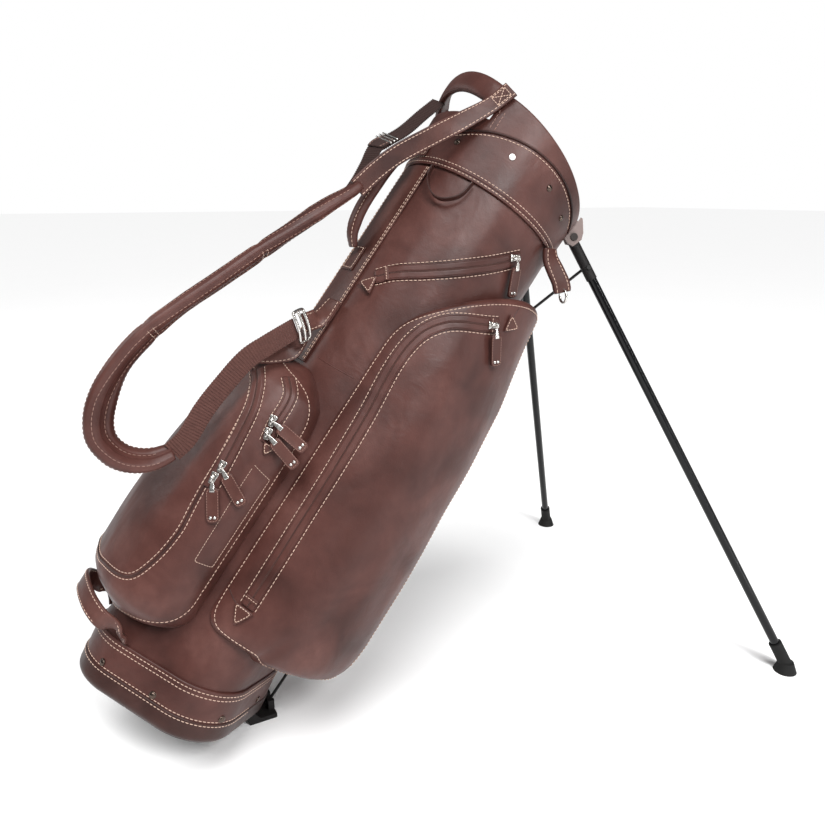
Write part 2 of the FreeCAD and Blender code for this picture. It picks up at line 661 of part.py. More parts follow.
def leg_pieces():
    down = leg_direction(1)
    axis = pin_axis(1)
    length = leg_length()
    head = rod(PIVOT - axis * 6.0, PIVOT + axis * 6.0, HEAD_R)
    head = head.fuse(rod(PIVOT + down * 3, PIVOT + down * 62, HEAD_R))
    for start in (-12, 6):
        head = head.cut(rod(PIVOT + axis * start, PIVOT + axis * (start + 6), 13.0))
    head = head.cut(rod(PIVOT - axis * 20, PIVOT + axis * 20, HINGE_PIN_R))
    bore = rod(PIVOT + down * 22, PIVOT + down * 80, LEG_TUBE_R + 0.02)
    eye_at = PIVOT + down * ROD_AT
    eye = rod(eye_at - axis * 20, eye_at + axis * 20, ROD_EYE_R)
    head = head.cut(bore).cut(eye)
    pole = rod(PIVOT + down * 22.2, PIVOT + down * (length - 4), LEG_TUBE_R)
    pole = pole.cut(rod(PIVOT + down * 20, PIVOT + down * (length + 5), LEG_TUBE_R - LEG_WALL)).cut(eye)
    foot = leg_foot(down, length)
    foot_cut = rod(PIVOT + down * 600, PIVOT + down * (length - 3.9), LEG_TUBE_R + 0.02)
    foot = foot.cut(foot_cut)
    top = eye_at - axis * 10.2
    wire = rod(ROD_LOW + (ROD_LOW - ROD_BEND).normalize() * 6, ROD_BEND, ROD_R)
    bent_end = rod(top, eye_at + axis * 9.2, ROD_EYE_R - FIT)
    clip = rod(eye_at + axis * 7.6, eye_at + axis * 9.2, 3.0)
    joints = [Part.makeSphere(ROD_R, point) for point in (ROD_BEND, top)]
    wire = wire.fuse([rod(ROD_BEND, top, ROD_R), bent_end, clip] + joints)
    for name, shape in (("leg_head", head), ("leg_tube", pole), ("leg_foot", foot), ("actuating_rod", wire)):
        write(f"{name}_near", shape)
        write(f"{name}_far", mirrored(shape))


def leg_foot(down, length):
    """Rubber foot: a sleeve on the tube and a broad heel cut flat on the floor."""
    start = PIVOT + down * (length - 40)
    sleeve = rod(start, PIVOT + down * (length - 2), 9.0)
    end = PLACE.multVec(PIVOT + down * (length - 2))
    heel = Part.makeCone(16, 10.5, 15, V(end.x, end.y, 0))
    heel.Placement = UPRIGHT.multiply(heel.Placement)
    both = sleeve.fuse(heel)
    floor = Part.makeBox(400, 400, 100, V(end.x - 200, end.y - 200, -100))
    floor.Placement = UPRIGHT.multiply(floor.Placement)
    return both.cut(floor)


# cheeks of the yoke about the pivot: away from the belly, and up the bag; the outer cheek is the broad one
INNER_CHEEK = ((-5.5, -5), (0, -8.5), (7.0, -5.5), (8.5, 6), (2.5, 27), (-5.5, 27))
OUTER_CHEEK = ((-14.0, -7.5), (-3.0, -11.5), (6.0, -10.5), (11.0, 3), (8.0, 12), (-3.0, 27), (-15.0, 27))


def hinge_yoke():
    """Moulded yoke on the belly: an arc pad with two cheeks for each leg head."""
    pad = tube(124.5, CUFF_R, HINGE_CLEAR + 0.5, 803).common(sector(700, 900, 0, 34))
    pad = pad.common(below_plane(MOUTH_H - 2, -MOUTH_SLOPE, 0))
    ears = []
    for side in (1, -1):
        axis = pin_axis(side)
        pivot = V(PIVOT.x, side * PIVOT.y, PIVOT.z)
        out = V(0, 0, 1).cross(axis) * side
        if out.x < 0:
            out = out * -1
        for shift, cheek in ((6.3, OUTER_CHEEK), (-9.6, INNER_CHEEK)):
            spot = pivot + axis * shift
            ears.append(prism([spot + out * u + V(0, 0, h) for u, h in cheek], axis * 3.3))
    yoke = pad.fuse(ears)
    for side in (1, -1):
        axis = pin_axis(side)
        pivot = V(PIVOT.x, side * PIVOT.y, PIVOT.z)
        yoke = yoke.cut(rod(pivot - axis * 20, pivot + axis * 20, HINGE_PIN_R))
    return yoke.cut(flare_cone(0.25, 700, HINGE_CLEAR)).cut(flare_cone(2.25, HINGE_CLEAR, 860))


def foot_lever():
    """Actuator foot: a flat pad on the floor, arms up to its pin and a lug that lifts the rods."""
    pin = PLACE.multVec(FOOT_PIN)
    x0 = pin.x
    plate = [(x0 + 8, 0), (24, 0), (24, 6.3), (2, 6.3), (x0 + 13, 17), (x0 + 7.5, pin.z), (x0 - 7.5, pin.z),
             (x0 - 7.5, pin.z - 7)]
    arm = prism([V(x, -34, z) for x, z in plate], V(0, 68, 0))
    boss = rod(V(pin.x, -34, pin.z), V(pin.x, 34, pin.z), 7.5)
    low = PLACE.multVec(ROD_LOW)
    lug = Part.makeBox(8, 50, low.z + 1.5, V(low.x - 4.5, -25, 4))
    lever = arm.fuse([boss, lug]).cut(rod(V(pin.x, -60, pin.z), V(pin.x, 60, pin.z), FOOT_PIN_R))
    lever.Placement = UPRIGHT.multiply(lever.Placement)
    return lever


def stand_pieces():
    leg_pieces()
    write("hinge_yoke", hinge_yoke())
    lever = foot_lever()
    for side in (1, -1):
        low = V(ROD_LOW.x, side * ROD_LOW.y, ROD_LOW.z)
        upper = V(ROD_BEND.x, side * ROD_BEND.y, ROD_BEND.z)
        line = (upper - low).normalize()
        lever = lever.cut(rod(low - line * 14, low + line * 30, ROD_HOLE_R))
    write("foot_lever", lever)


base_pieces()
body_pieces()
top_pieces()
pocket_pieces()
fitting_pieces()
strap_pieces()
handle_pieces()
stand_pieces()
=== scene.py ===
"""Picture model of the leather golf bag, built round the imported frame.

Most shapes are drawn in the bag's own axes, in millimetres: a towards the legs, y across and h up along
the bag. Surfaces of the body and pockets are radii over a direction in degrees and a height h; 0 degrees is
the belly between the legs, 180 the spine, and 180 to 360 the near side.
"""
import bmesh
import bpy
import math
import numpy as np
from mathutils import Matrix, Vector, noise

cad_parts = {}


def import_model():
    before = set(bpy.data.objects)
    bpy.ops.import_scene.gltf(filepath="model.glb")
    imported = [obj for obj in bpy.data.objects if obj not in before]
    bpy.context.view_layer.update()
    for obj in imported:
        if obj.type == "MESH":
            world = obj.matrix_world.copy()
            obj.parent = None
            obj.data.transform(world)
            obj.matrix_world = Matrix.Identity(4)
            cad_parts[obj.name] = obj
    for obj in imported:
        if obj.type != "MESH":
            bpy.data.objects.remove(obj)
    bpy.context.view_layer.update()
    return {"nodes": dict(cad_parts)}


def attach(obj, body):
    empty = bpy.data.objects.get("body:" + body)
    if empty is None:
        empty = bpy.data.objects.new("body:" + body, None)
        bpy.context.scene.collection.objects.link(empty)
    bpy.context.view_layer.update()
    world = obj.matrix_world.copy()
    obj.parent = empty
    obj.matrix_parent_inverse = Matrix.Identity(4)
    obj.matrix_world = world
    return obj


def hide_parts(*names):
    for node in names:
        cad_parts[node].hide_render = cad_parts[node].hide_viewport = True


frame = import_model()

# ---------------------------------------------------------------- sizes shared with the solid model
LEAN = math.radians(37.5)
BASE_HEIGHT = 67.5
FOOT_PAD_X = 100.0
BODY_R = 110.0
ROUND_FROM = 175.0
BEVEL = math.radians(8.4)
BASE_SIDE = 103.4
BASE_CORNER = 63.0
BASE_BOTTOM = 3.5
BASE_ROUND = 8.0
CUFF_TOP = 68.0
CUFF_BOTTOM = 722.0
CUFF_R = 112.7
FLARE = 0.030
MOUTH_H = 810.0
MOUTH_SLOPE = 0.27
POCKET_R = 110.8                 # where the pockets' skins leave the body
DIVIDER_R = 104.3
DIVIDER_H = (744.0, 786.0)
HAND_HOLE = 38.0                 # degrees either side of the spine
GARMENT_FROM, GARMENT_TO = 236.6, 322.0
TOP_CUT_H, TOP_CUT_A, TOP_CUT_Y = 496, 0.679, -0.858       # plane of the garment pocket's top: h over a and y
SIDES = (("near", 1), ("far", -1))


def world(p):
    """Bag axes in millimetres to the row frame in metres."""
    p = np.asarray(p, float)
    a, y, h = p[..., 0], p[..., 1], p[..., 2]
    x = a * math.cos(LEAN) + h * math.sin(LEAN) - FOOT_PAD_X
    z = BASE_HEIGHT - a * math.sin(LEAN) + h * math.cos(LEAN)
    return np.stack([x, y, z], -1) / 1000


def arrays(*values):
    """The values as arrays of one shape."""
    return np.broadcast_arrays(*[np.asarray(value, float) for value in values])


def polar(r, degrees, h):
    """Points round the bag's axis, in bag axes."""
    r, angle, h = arrays(r, np.radians(degrees), h)
    return np.stack([r * np.cos(angle), r * np.sin(angle), h], -1)


def unit(v):
    """Vectors brought to length one."""
    v = np.asarray(v, float)
    return v / np.maximum(np.linalg.norm(v, axis=-1, keepdims=True), 1e-9)


def radial(p):
    """Outward from the bag's axis, at points in bag axes."""
    return unit(np.asarray(p) * np.array([1, 1, 0]))


def mirror(p):
    """The same points on the other side of the bag."""
    return np.asarray(p, float) * np.array([1, -1, 1])


def on_side(side):
    """What turns near-side points into points on the given side."""
    return mirror if side < 0 else np.asarray


def turns(count):
    """Even angles round a circle."""
    return [2 * math.pi * k / count for k in range(count)]


def blunt(value, power):
    """Signed power of a sine or cosine, which squares the circle that it draws."""
    return math.copysign(abs(value) ** power, value)


def rounded(x, y, sides, x_power, y_power):
    """Cross-section between an ellipse and a rectangle."""
    return [(x * blunt(math.cos(t), x_power), y * blunt(math.sin(t), y_power)) for t in turns(sides)]


def smooth(keys, x):
    """Monotone cubic through (x, y) keys."""
    keys = np.asarray(keys, float)
    kx, ky = keys[:, 0], keys[:, 1]
    step = np.diff(kx)
    slope = np.diff(ky) / step
    tangent = np.zeros(len(kx))
    tangent[0], tangent[-1] = slope[0], slope[-1]
    for i in range(1, len(kx) - 1):
        if slope[i - 1] * slope[i] > 0:
            tangent[i] = 2 * slope[i - 1] * slope[i] / (slope[i - 1] + slope[i])
    x = np.clip(np.asarray(x, float), kx[0], kx[-1])
    i = np.clip(np.searchsorted(kx, x, side="right") - 1, 0, len(kx) - 2)
    t = (x - kx[i]) / step[i]
    return (ky[i] * (1 + 2 * t) * (1 - t) ** 2 + step[i] * tangent[i] * t * (1 - t) ** 2
            + ky[i + 1] * t * t * (3 - 2 * t) + step[i] * tangent[i + 1] * t * t * (t - 1))


def resample(points, spacing, size=3):
    """Evenly spaced points along a polyline, measured over its first few coordinates."""
    points = np.asarray(points, float)
    steps = np.linalg.norm(np.diff(points[:, :size], axis=0), axis=1)
    run = np.concatenate([[0], np.cumsum(steps)])
    at = np.linspace(0, run[-1], max(2, int(round(run[-1] / spacing)) + 1))
    return np.stack([np.interp(at, run, points[:, k]) for k in range(points.shape[1])], -1)


def spline(points, spacing=2.0):
    """Evenly spaced points on a smooth curve through the given ones, of any dimension."""
    points = np.asarray(points, float)
    p = np.vstack([2 * points[0] - points[1], points, 2 * points[-1] - points[-2]])
    t = np.linspace(0, 1, 24, endpoint=False)[:, None]
    out = []
    for i in range(1, len(p) - 2):
        reach = np.linalg.norm(p[i + 1] - p[i])
        m0 = unit(p[i + 1] - p[i - 1]) * reach
        m1 = unit(p[i + 2] - p[i]) * reach
        out.append((2 * t ** 3 - 3 * t ** 2 + 1) * p[i] + (t ** 3 - 2 * t ** 2 + t) * m0
                   + (3 * t ** 2 - 2 * t ** 3) * p[i + 1] + (t ** 3 - t ** 2) * m1)
    out.append(p[-2][None])
    return resample(np.vstack(out), spacing, points.shape[1])


def ripple(p, size, seed=0.0):
    """Smooth noise from about -1 to 1; size is that of its features in millimetres, one or three numbers."""
    p = np.asarray(p, float)
    flat = p.reshape(-1, 3) / size + seed
    return np.array([noise.noise(Vector(q)) for q in flat]).reshape(p.shape[:-1])


# ---------------------------------------------------------------- meshes

def put(name, data):
    obj = bpy.data.objects.new(name, data)
    bpy.context.scene.collection.objects.link(obj)
    return obj


def make(name, points, faces, material, body="bag", bevel=0.0, subdivide=0, slot=None, cad=(), bag_axes=True):
    """Mesh from points, riding on a body and standing for its CAD nodes."""
    data = bpy.data.meshes.new(name)
    places = world(points) if bag_axes else np.asarray(points, float)
    data.from_pydata(places.tolist(), [], [tuple(int(i) for i in f) for f in faces])
    data.validate()
    work = bmesh.new()
    work.from_mesh(data)
    bmesh.ops.recalc_face_normals(work, faces=work.faces)
    work.to_mesh(data)
    work.free()
    data.polygons.foreach_set("use_smooth", [True] * len(data.polygons))
    obj = put(name, data)
    data.materials.append(material)
    if bevel:
        edge = obj.modifiers.new("edge", "BEVEL")
        edge.width = bevel / 1000
        edge.segments = 3
        edge.limit_method = "ANGLE"
        edge.angle_limit = math.radians(40)
    if subdivide:
        fine = obj.modifiers.new("fine", "SUBSURF")
        fine.levels = fine.render_levels = subdivide
    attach(obj, body)
    if cad:
        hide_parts(*cad)
    return obj


def grid_faces(rows, cols, loop_rows=False, loop_cols=False, start=0):
    """Four-sided faces between the points of a grid."""
    faces = []
    for i in range(rows if loop_rows else rows - 1):
        for j in range(cols if loop_cols else cols - 1):
            i2, j2 = (i + 1) % rows, (j + 1) % cols
            here, above = start + i * cols, start + i2 * cols
            faces.append((here + j, above + j, above + j2, here + j2))
    return faces


def caps(rows, cols, start=0):
    """Faces that close both ends of a tube."""
    last = start + (rows - 1) * cols
    return [tuple(range(start, start + cols)), tuple(range(last, last + cols))]


def sheet(name, grid, material, loop=False, ends=False, **more):
    """Mesh of one grid of points; its rows may close on themselves, and its ends may be filled."""
    faces = grid_faces(*grid.shape[:2], loop_cols=loop)
    if ends:
        faces += caps(*grid.shape[:2])
    return make(name, grid.reshape(-1, 3), faces, material, **more)


def walled(outer, inner, loop=False):
    """Points and faces of a closed skin between two matching grids."""
    rows, cols = outer.shape[:2]
    count = rows * cols
    faces = grid_faces(rows, cols, loop_cols=loop) + grid_faces(rows, cols, loop_cols=loop, start=count)
    top = (rows - 1) * cols
    for j in range(cols if loop else cols - 1):
        j2 = (j + 1) % cols
        faces.append((j, j2, count + j2, count + j))
        faces.append((top + j, top + j2, count + top + j2, count + top + j))
    if not loop:
        for i in range(rows - 1):
            for low in (i * cols, i * cols + cols - 1):
                faces.append((low, low + cols, count + low + cols, count + low))
    return np.vstack([outer.reshape(-1, 3), inner.reshape(-1, 3)]), faces


def frames(points, faces):
    """Tangent, across and outward directions along a line; faces is one outward direction or many."""
    points = np.asarray(points, float)
    tangent = unit(np.gradient(points, axis=0))
    faces = np.broadcast_to(np.asarray(faces, float), points.shape)
    across = unit(np.cross(tangent, faces))
    return tangent, across, unit(np.cross(across, tangent))


def flat_section(wide, thick, corner=0.9):
    """Cross-section of a flat strap with rounded edges, as (across, out) pairs."""
    corner = min(corner, thick * 0.48)
    half, t = wide / 2 - corner, thick / 2 - corner
    line = []
    for quarter, (cx, cy) in enumerate(((half, t), (-half, t), (-half, -t), (half, -t))):
        for k in range(4):
            turn = math.radians(90 * quarter + 30 * k)
            line.append((cx + corner * math.cos(turn), cy + corner * math.sin(turn)))
        if quarter in (0, 2):
            way = -1 if quarter == 0 else 1
            for share in (-0.6, -0.2, 0.2, 0.6):
                line.append((way * half * share, cy + math.copysign(corner, cy)))
    return line


def sweep(name, points, faces, section, material, scale=None, closed=False, **more):
    """Carries a cross-section along a line; scale is its size at each point, one number or a pair."""
    points = np.asarray(points, float)
    _, across, out = frames(points, faces)
    section = np.asarray(section, float)
    scale = np.ones((len(points), 2)) if scale is None else np.asarray(scale, float)
    if scale.ndim == 1:
        scale = np.stack([scale, scale], -1)
    grid = (points[:, None, :] + across[:, None, :] * (section[None, :, 0, None] * scale[:, None, 0, None])
            + out[:, None, :] * (section[None, :, 1, None] * scale[:, None, 1, None]))
    rows, cols = grid.shape[:2]
    skin = grid_faces(rows, cols, loop_rows=closed, loop_cols=True)
    if not closed:
        skin += caps(rows, cols)
    return make(name, grid.reshape(-1, 3), skin, material, **more)


def circle(r, sides=10, squash=1.0):
    return [(r * math.cos(t), r * squash * math.sin(t)) for t in turns(sides)]


def strap_line(points, faces, spacing=1.6):
    """A smooth line with its outward direction at each point."""
    points = np.asarray(points, float)
    faces = np.broadcast_to(np.asarray(faces, float), points.shape)
    both = spline(np.hstack([points, unit(faces) * 8]), spacing)
    return both[:, :3], unit(both[:, 3:])


threads = {}


def evenly(line, outward, spacing):
    """Evenly spaced points on a line, with their outward directions."""
    both = resample(np.hstack([line, outward]), spacing)
    return both[:, :3], unit(both[:, 3:])


def stitch(points, outward, body="bag", kind="cream", pitch=5.2, length=3.9, thick=0.92, lift=0.22):
    """A row of stitches on a surface. They are gathered and made into one mesh for each body and thread."""
    points = np.asarray(points, float)
    outward = np.broadcast_to(np.asarray(outward, float), points.shape)
    spots, out = evenly(points, outward, pitch)
    middle = (spots[1:] + spots[:-1]) / 2
    t = unit(spots[1:] - spots[:-1])
    o = unit(out[1:] + out[:-1])
    o = unit(o - t * np.sum(o * t, -1, keepdims=True))
    threads.setdefault((body, kind), []).append((middle + o * lift, t, o, np.cross(t, o), length, thick))


def stitch_shape(length, thick):
    """One stitch along x, its ends dipping into the leather; rings are (along, width, drop)."""
    half = ((0.5, 0.30, -0.80), (0.41, 0.72, -0.30), (0.2, 1.0, 0.0))
    rings = [(-along, wide, drop) for along, wide, drop in half] + list(half[::-1])
    points = [(along * length, wide * thick / 2 * math.cos(t + math.pi / 6),
               wide * thick / 2 * math.sin(t + math.pi / 6) + drop * thick / 2)
              for along, wide, drop in rings for t in turns(6)]
    return np.array(points), grid_faces(len(rings), 6, loop_cols=True) + caps(len(rings), 6)


def sew():
    """One mesh of threads for each body and thread."""
    for (body, kind), rows in threads.items():
        points, faces, count = [], [], 0
        for middle, t, o, s, length, thick in rows:
            shape, shape_faces = stitch_shape(length, thick)
            for k in range(len(middle)):
                points.append(middle[k] + shape[:, 0:1] * t[k] + shape[:, 1:2] * s[k] + shape[:, 2:3] * o[k])
                faces += [tuple(i + count for i in f) for f in shape_faces]
                count += len(shape)
        make(f"stitching_{kind}_{body}", np.vstack(points), faces, THREADS[kind], body=body)


# ---------------------------------------------------------------- materials

class Nodes:
    """Small helper for building one node material."""

    def __init__(self, name):
        self.material = bpy.data.materials.new(name)
        self.material.use_nodes = True
        self.tree = self.material.node_tree
        self.shader = self.tree.nodes["Principled BSDF"]
        self.place = self.tree.nodes.new("ShaderNodeTexCoord").outputs["Object"]

    def add(self, kind, **values):
        node = self.tree.nodes.new(kind)
        for key, value in values.items():
            if key in node.inputs:
                node.inputs[key].default_value = value
            else:
                setattr(node, key, value)
        return node

    def link(self, source, target):
        self.tree.links.new(source, target)

    def noise(self, size, detail=3.0, rough=0.55, distortion=0.0, stretch=None):
        """Noise with features of the given size in millimetres."""
        node = self.add("ShaderNodeTexNoise", Scale=1000.0 / size, Detail=detail, Roughness=rough,
                        Distortion=distortion)
        source = self.place
        if stretch:
            mapping = self.add("ShaderNodeMapping", Scale=stretch)
            self.link(source, mapping.inputs["Vector"])
            source = mapping.outputs["Vector"]
        self.link(source, node.inputs["Vector"])
        return node.outputs["Fac"]

    def cells(self, size, feature="F1"):
        """Cells of the given size in millimetres."""
        node = self.add("ShaderNodeTexVoronoi", Scale=1000.0 / size, feature=feature)
        self.link(self.place, node.inputs["Vector"])
        return node.outputs["Distance"]

    def ramp(self, source, stops):
        """Colours over a value; each stop is (value, colour)."""
        node = self.add("ShaderNodeValToRGB")
        while len(node.color_ramp.elements) < len(stops):
            node.color_ramp.elements.new(0.5)
        for element, (place, colour) in zip(node.color_ramp.elements, stops):
            element.position = place
            element.color = colour if len(colour) == 4 else (*colour, 1)
        self.link(source, node.inputs["Fac"])
        return node.outputs["Color"]

    def mix(self, share, first, second, blend="MIX"):
        node = self.add("ShaderNodeMix", data_type="RGBA", blend_type=blend)
        for socket, value in ((node.inputs[0], share), (node.inputs[6], first), (node.inputs[7], second)):
            if isinstance(value, bpy.types.NodeSocket):
                self.link(value, socket)
            else:
                socket.default_value = value if isinstance(value, float) else (*value, 1)
        return node.outputs[2]

    def span(self, source, low, high):
        """Brings a value from 0..1 to low..high."""
        node = self.add("ShaderNodeMapRange")
        node.inputs["To Min"].default_value = low
        node.inputs["To Max"].default_value = high
        self.link(source, node.inputs["Value"])
        return node.outputs["Result"]

    def bumps(self, *layers):
        """Each layer is (height, distance in millimetres, strength)."""
        normal = None
        for height, distance, strength in layers:
            node = self.add("ShaderNodeBump", Distance=distance / 1000, Strength=strength)
            self.link(height, node.inputs["Height"])
            if normal is not None:
                self.link(normal, node.inputs["Normal"])
            normal = node.outputs["Normal"]
        self.link(normal, self.shader.inputs["Normal"])

    def done(self, colour=None, rough=None, **values):
        """Sets the shader's inputs; the material is ready."""
        if colour is not None:
            self.link(colour, self.shader.inputs["Base Color"])
        if isinstance(rough, bpy.types.NodeSocket):
            self.link(rough, self.shader.inputs["Roughness"])
        elif rough is not None:
            self.shader.inputs["Roughness"].default_value = rough
        for key, value in values.items():
            self.shader.inputs[key.replace("_", " ")].default_value = value
        return self.material


def leather(name, dark, mid, light, rough=(0.33, 0.52), grain=1.0):
    """Hand-rubbed leather: clouds of three tones under a mottle, and folds, wrinkles, creases and pores."""
    n = Nodes(name)
    colour = n.ramp(n.noise(95, 3, 0.55, 0.4), ((0.32, dark), (0.52, mid), (0.72, light)))
    mottle = n.ramp(n.noise(24, 5, 0.65, 0.6), ((0.35, (0.0, 0.0, 0.0)), (0.68, (1.0, 1.0, 1.0))))
    colour = n.mix(n.span(mottle, 0.0, 0.30), colour, dark)
    colour = n.mix(n.span(n.noise(6, 4, 0.6), 0.0, 0.35), colour, dark)
    pores = n.cells(1.25)
    creases = n.noise(16, 5, 0.62, 1.2)
    wrinkles = n.noise(30, 3, 0.5, 2.2, (1.0, 0.45, 1.0))
    folds = n.noise(46, 2, 0.5, 0.8, (1.0, 1.0, 0.55))
    n.bumps((folds, 4.5, 0.24 * grain), (wrinkles, 1.5, 0.20 * grain), (creases, 0.7, 0.20 * grain),
            (pores, 0.25, 0.22 * grain))
    return n.done(colour, n.span(n.noise(30, 3), *rough), Specular_IOR_Level=0.28)


LEATHER = leather("leather_body", (0.036, 0.0112, 0.0086), (0.078, 0.0280, 0.0225), (0.124, 0.052, 0.043))
LEATHER_DARK = leather("leather_dark", (0.014, 0.0042, 0.003), (0.040, 0.0138, 0.0108), (0.068, 0.028, 0.023))
LEATHER_TRIM = leather("leather_trim", (0.030, 0.0090, 0.007), (0.078, 0.0285, 0.0220), (0.126, 0.053, 0.043),
                       grain=1.2)


def thread(name, colour, shadow):
    n = Nodes(name)
    twist = n.add("ShaderNodeTexWave", Scale=900.0, Distortion=1.5, bands_direction="DIAGONAL")
    n.link(n.place, twist.inputs["Vector"])
    tint = n.mix(n.span(n.noise(14, 2), 0.0, 0.6), colour, shadow)
    n.bumps((twist.outputs["Fac"], 0.2, 0.5))
    return n.done(tint, 0.65, Sheen_Weight=0.2)


THREADS = {"cream": thread("thread_cream", (0.60, 0.42, 0.33), (0.42, 0.27, 0.20)),
           "brown": thread("thread_brown", (0.27, 0.145, 0.11), (0.16, 0.08, 0.06))}


def metal(name, colour, shade, rough, wear=0.4):
    """Metal with tarnish in patches and a fine tooth."""
    n = Nodes(name)
    tint = n.mix(n.span(n.noise(9, 4, 0.6), 0.0, wear), colour, shade)
    n.bumps((n.noise(1.4, 3), 0.08, 0.35))
    return n.done(tint, n.span(n.noise(4, 3), rough, rough + 0.14), Metallic=1.0)


SILVER = metal("zip_silver", (0.66, 0.64, 0.61), (0.34, 0.32, 0.30), 0.17)
ANTIQUE = metal("antique_stud", (0.115, 0.085, 0.070), (0.035, 0.024, 0.020), 0.20)
STUD_SILVER = metal("stud_silver", (0.86, 0.85, 0.83), (0.70, 0.69, 0.67), 0.40)
PIN_STEEL = metal("pin_steel", (0.030, 0.027, 0.026), (0.012, 0.011, 0.010), 0.30)
STAY = metal("stay_aluminium", (0.72, 0.73, 0.74), (0.50, 0.50, 0.52), 0.30)


def plastic(name, colour, worn, rough=0.45, grain=0.9):
    """Moulded plastic or rubber with a spark grain."""
    n = Nodes(name)
    tint = n.mix(n.span(n.noise(22, 4), 0.0, 0.7), colour, worn)
    n.bumps((n.cells(grain), 0.12, 0.30), (n.noise(30, 2), 0.5, 0.10))
    return n.done(tint, n.span(n.noise(8, 3), rough, rough + 0.16), Specular_IOR_Level=0.2)


BLACK_PLASTIC = plastic("black_plastic", (0.007, 0.006, 0.006), (0.016, 0.014, 0.014))
GREY_PLASTIC = plastic("grey_brown_plastic", (0.15, 0.112, 0.105), (0.22, 0.172, 0.16), 0.40)
RUBBER = plastic("black_rubber", (0.006, 0.006, 0.006), (0.014, 0.0135, 0.013), 0.62, 1.6)


def leg_paint():
    n = Nodes("gloss_black_tube")
    tint = n.mix(n.span(n.noise(40, 3), 0.0, 0.6), (0.003, 0.003, 0.0034), (0.007, 0.007, 0.008))
    n.bumps((n.noise(40, 2), 0.10, 0.05))
    return n.done(tint, n.span(n.noise(18, 3), 0.06, 0.12), Specular_IOR_Level=0.26)


LEG_PAINT = leg_paint()
WIRE = plastic("black_wire", (0.010, 0.010, 0.010), (0.028, 0.026, 0.025), 0.30)


def woven(name, colour, shade, size=1.1, rough=0.72):
    """Cloth or tape, with threads of the given size."""
    n = Nodes(name)
    layers = []
    for direction in "XZY":
        wave = n.add("ShaderNodeTexWave", Scale=1000.0 / size / 6.283, Distortion=0.6,
                     bands_direction=direction)
        n.link(n.place, wave.inputs["Vector"])
        layers.append((wave.outputs["Fac"], 0.25, 0.4))
    tint = n.mix(n.span(n.noise(6, 4, 0.6), 0.0, 0.8), colour, shade)
    n.bumps(*layers)
    return n.done(tint, rough, Sheen_Weight=0.08, Sheen_Roughness=0.5, Specular_IOR_Level=0.2)


TAPE = woven("zip_tape", (0.060, 0.026, 0.021), (0.034, 0.015, 0.012), 0.8)
WEBBING = woven("ribbed_webbing", (0.100, 0.041, 0.033), (0.050, 0.020, 0.016), 0.9)
DARK_WEBBING = woven("dark_webbing", (0.034, 0.0145, 0.012), (0.016, 0.008, 0.0065), 0.9)
LINING = woven("lining_cloth", (0.022, 0.018, 0.017), (0.012, 0.010, 0.010), 1.2)
DIVIDER = woven("divider_cloth", (0.055, 0.032, 0.028), (0.028, 0.017, 0.015), 1.3)

KEPT = {"inner_lining": LINING, "stay_rods": STAY, "top_frame": BLACK_PLASTIC, "hinge_yoke": GREY_PLASTIC,
        "hinge_pins": PIN_STEEL, "foot_lever": BLACK_PLASTIC, "base_cup": BLACK_PLASTIC, "base_sole": RUBBER,
        "strap_ring": SILVER}
for side_name, _ in SIDES:
    KEPT.update({f"leg_head_{side_name}": BLACK_PLASTIC, f"leg_tube_{side_name}": LEG_PAINT,
                 f"leg_foot_{side_name}": RUBBER, f"actuating_rod_{side_name}": WIRE})
for node_name, finish in KEPT.items():
    materials = frame["nodes"][node_name].data.materials
    if not materials:
        materials.append(finish)
    for index in range(len(materials)):
        materials[index] = finish


# ---------------------------------------------------------------- surfaces, as radius over (degrees, height)

BODY_INSET = 2.8                 # of the body within the base's leather


def square_reach(degrees, inset):
    """Distance from the axis to the rounded square in a direction."""
    turn = (np.asarray(degrees, float) + 45) % 90 - 45
    side, corner = BASE_SIDE - inset, BASE_CORNER - inset
    centre = (side - corner) * math.sqrt(2)
    across = centre * np.sin(np.radians(turn))
    on_arc = centre * np.cos(np.radians(turn)) + np.sqrt(np.maximum(corner ** 2 - across ** 2, 0))
    steep = np.abs(on_arc * np.sin(np.radians(turn))) > np.abs(on_arc * np.cos(np.radians(turn)) - centre)
    on_flat = side / np.cos(np.radians(45 - np.abs(turn)))
    return np.where(steep, on_flat, on_arc)


def foot_reach(degrees):
    """Distance from the bag's axis to the body where it leaves the base, whose bevel sets it back."""
    back = CUFF_TOP * math.sin(BEVEL)
    direction = np.radians(np.asarray(degrees, float))
    r = square_reach(degrees, BODY_INSET)
    for _ in range(12):
        a, y = r * np.cos(direction) + back, r * np.sin(direction)
        r = r + square_reach(np.degrees(np.arctan2(y, a)), BODY_INSET) - np.hypot(a, y)
    return r


def bevelled(p):
    """Turns points from the bevelled base's own axes to the bag's."""
    a, y, h = p[..., 0], p[..., 1], p[..., 2]
    cosine, sine = math.cos(BEVEL), math.sin(BEVEL)
    return np.stack([a * cosine - h * sine, y, a * sine + h * cosine], -1)


def base_point(degrees, height, inset=0.0):
    """Point on the base's side, height measured along the bevelled base's own axis."""
    degrees, height = arrays(degrees, height)
    wave = 0.35 * np.sin(np.radians(degrees * 5)) * np.exp(-((height - 50) / 22) ** 2)
    return bevelled(polar(square_reach(degrees, inset) + np.minimum(wave, 0), degrees, height))


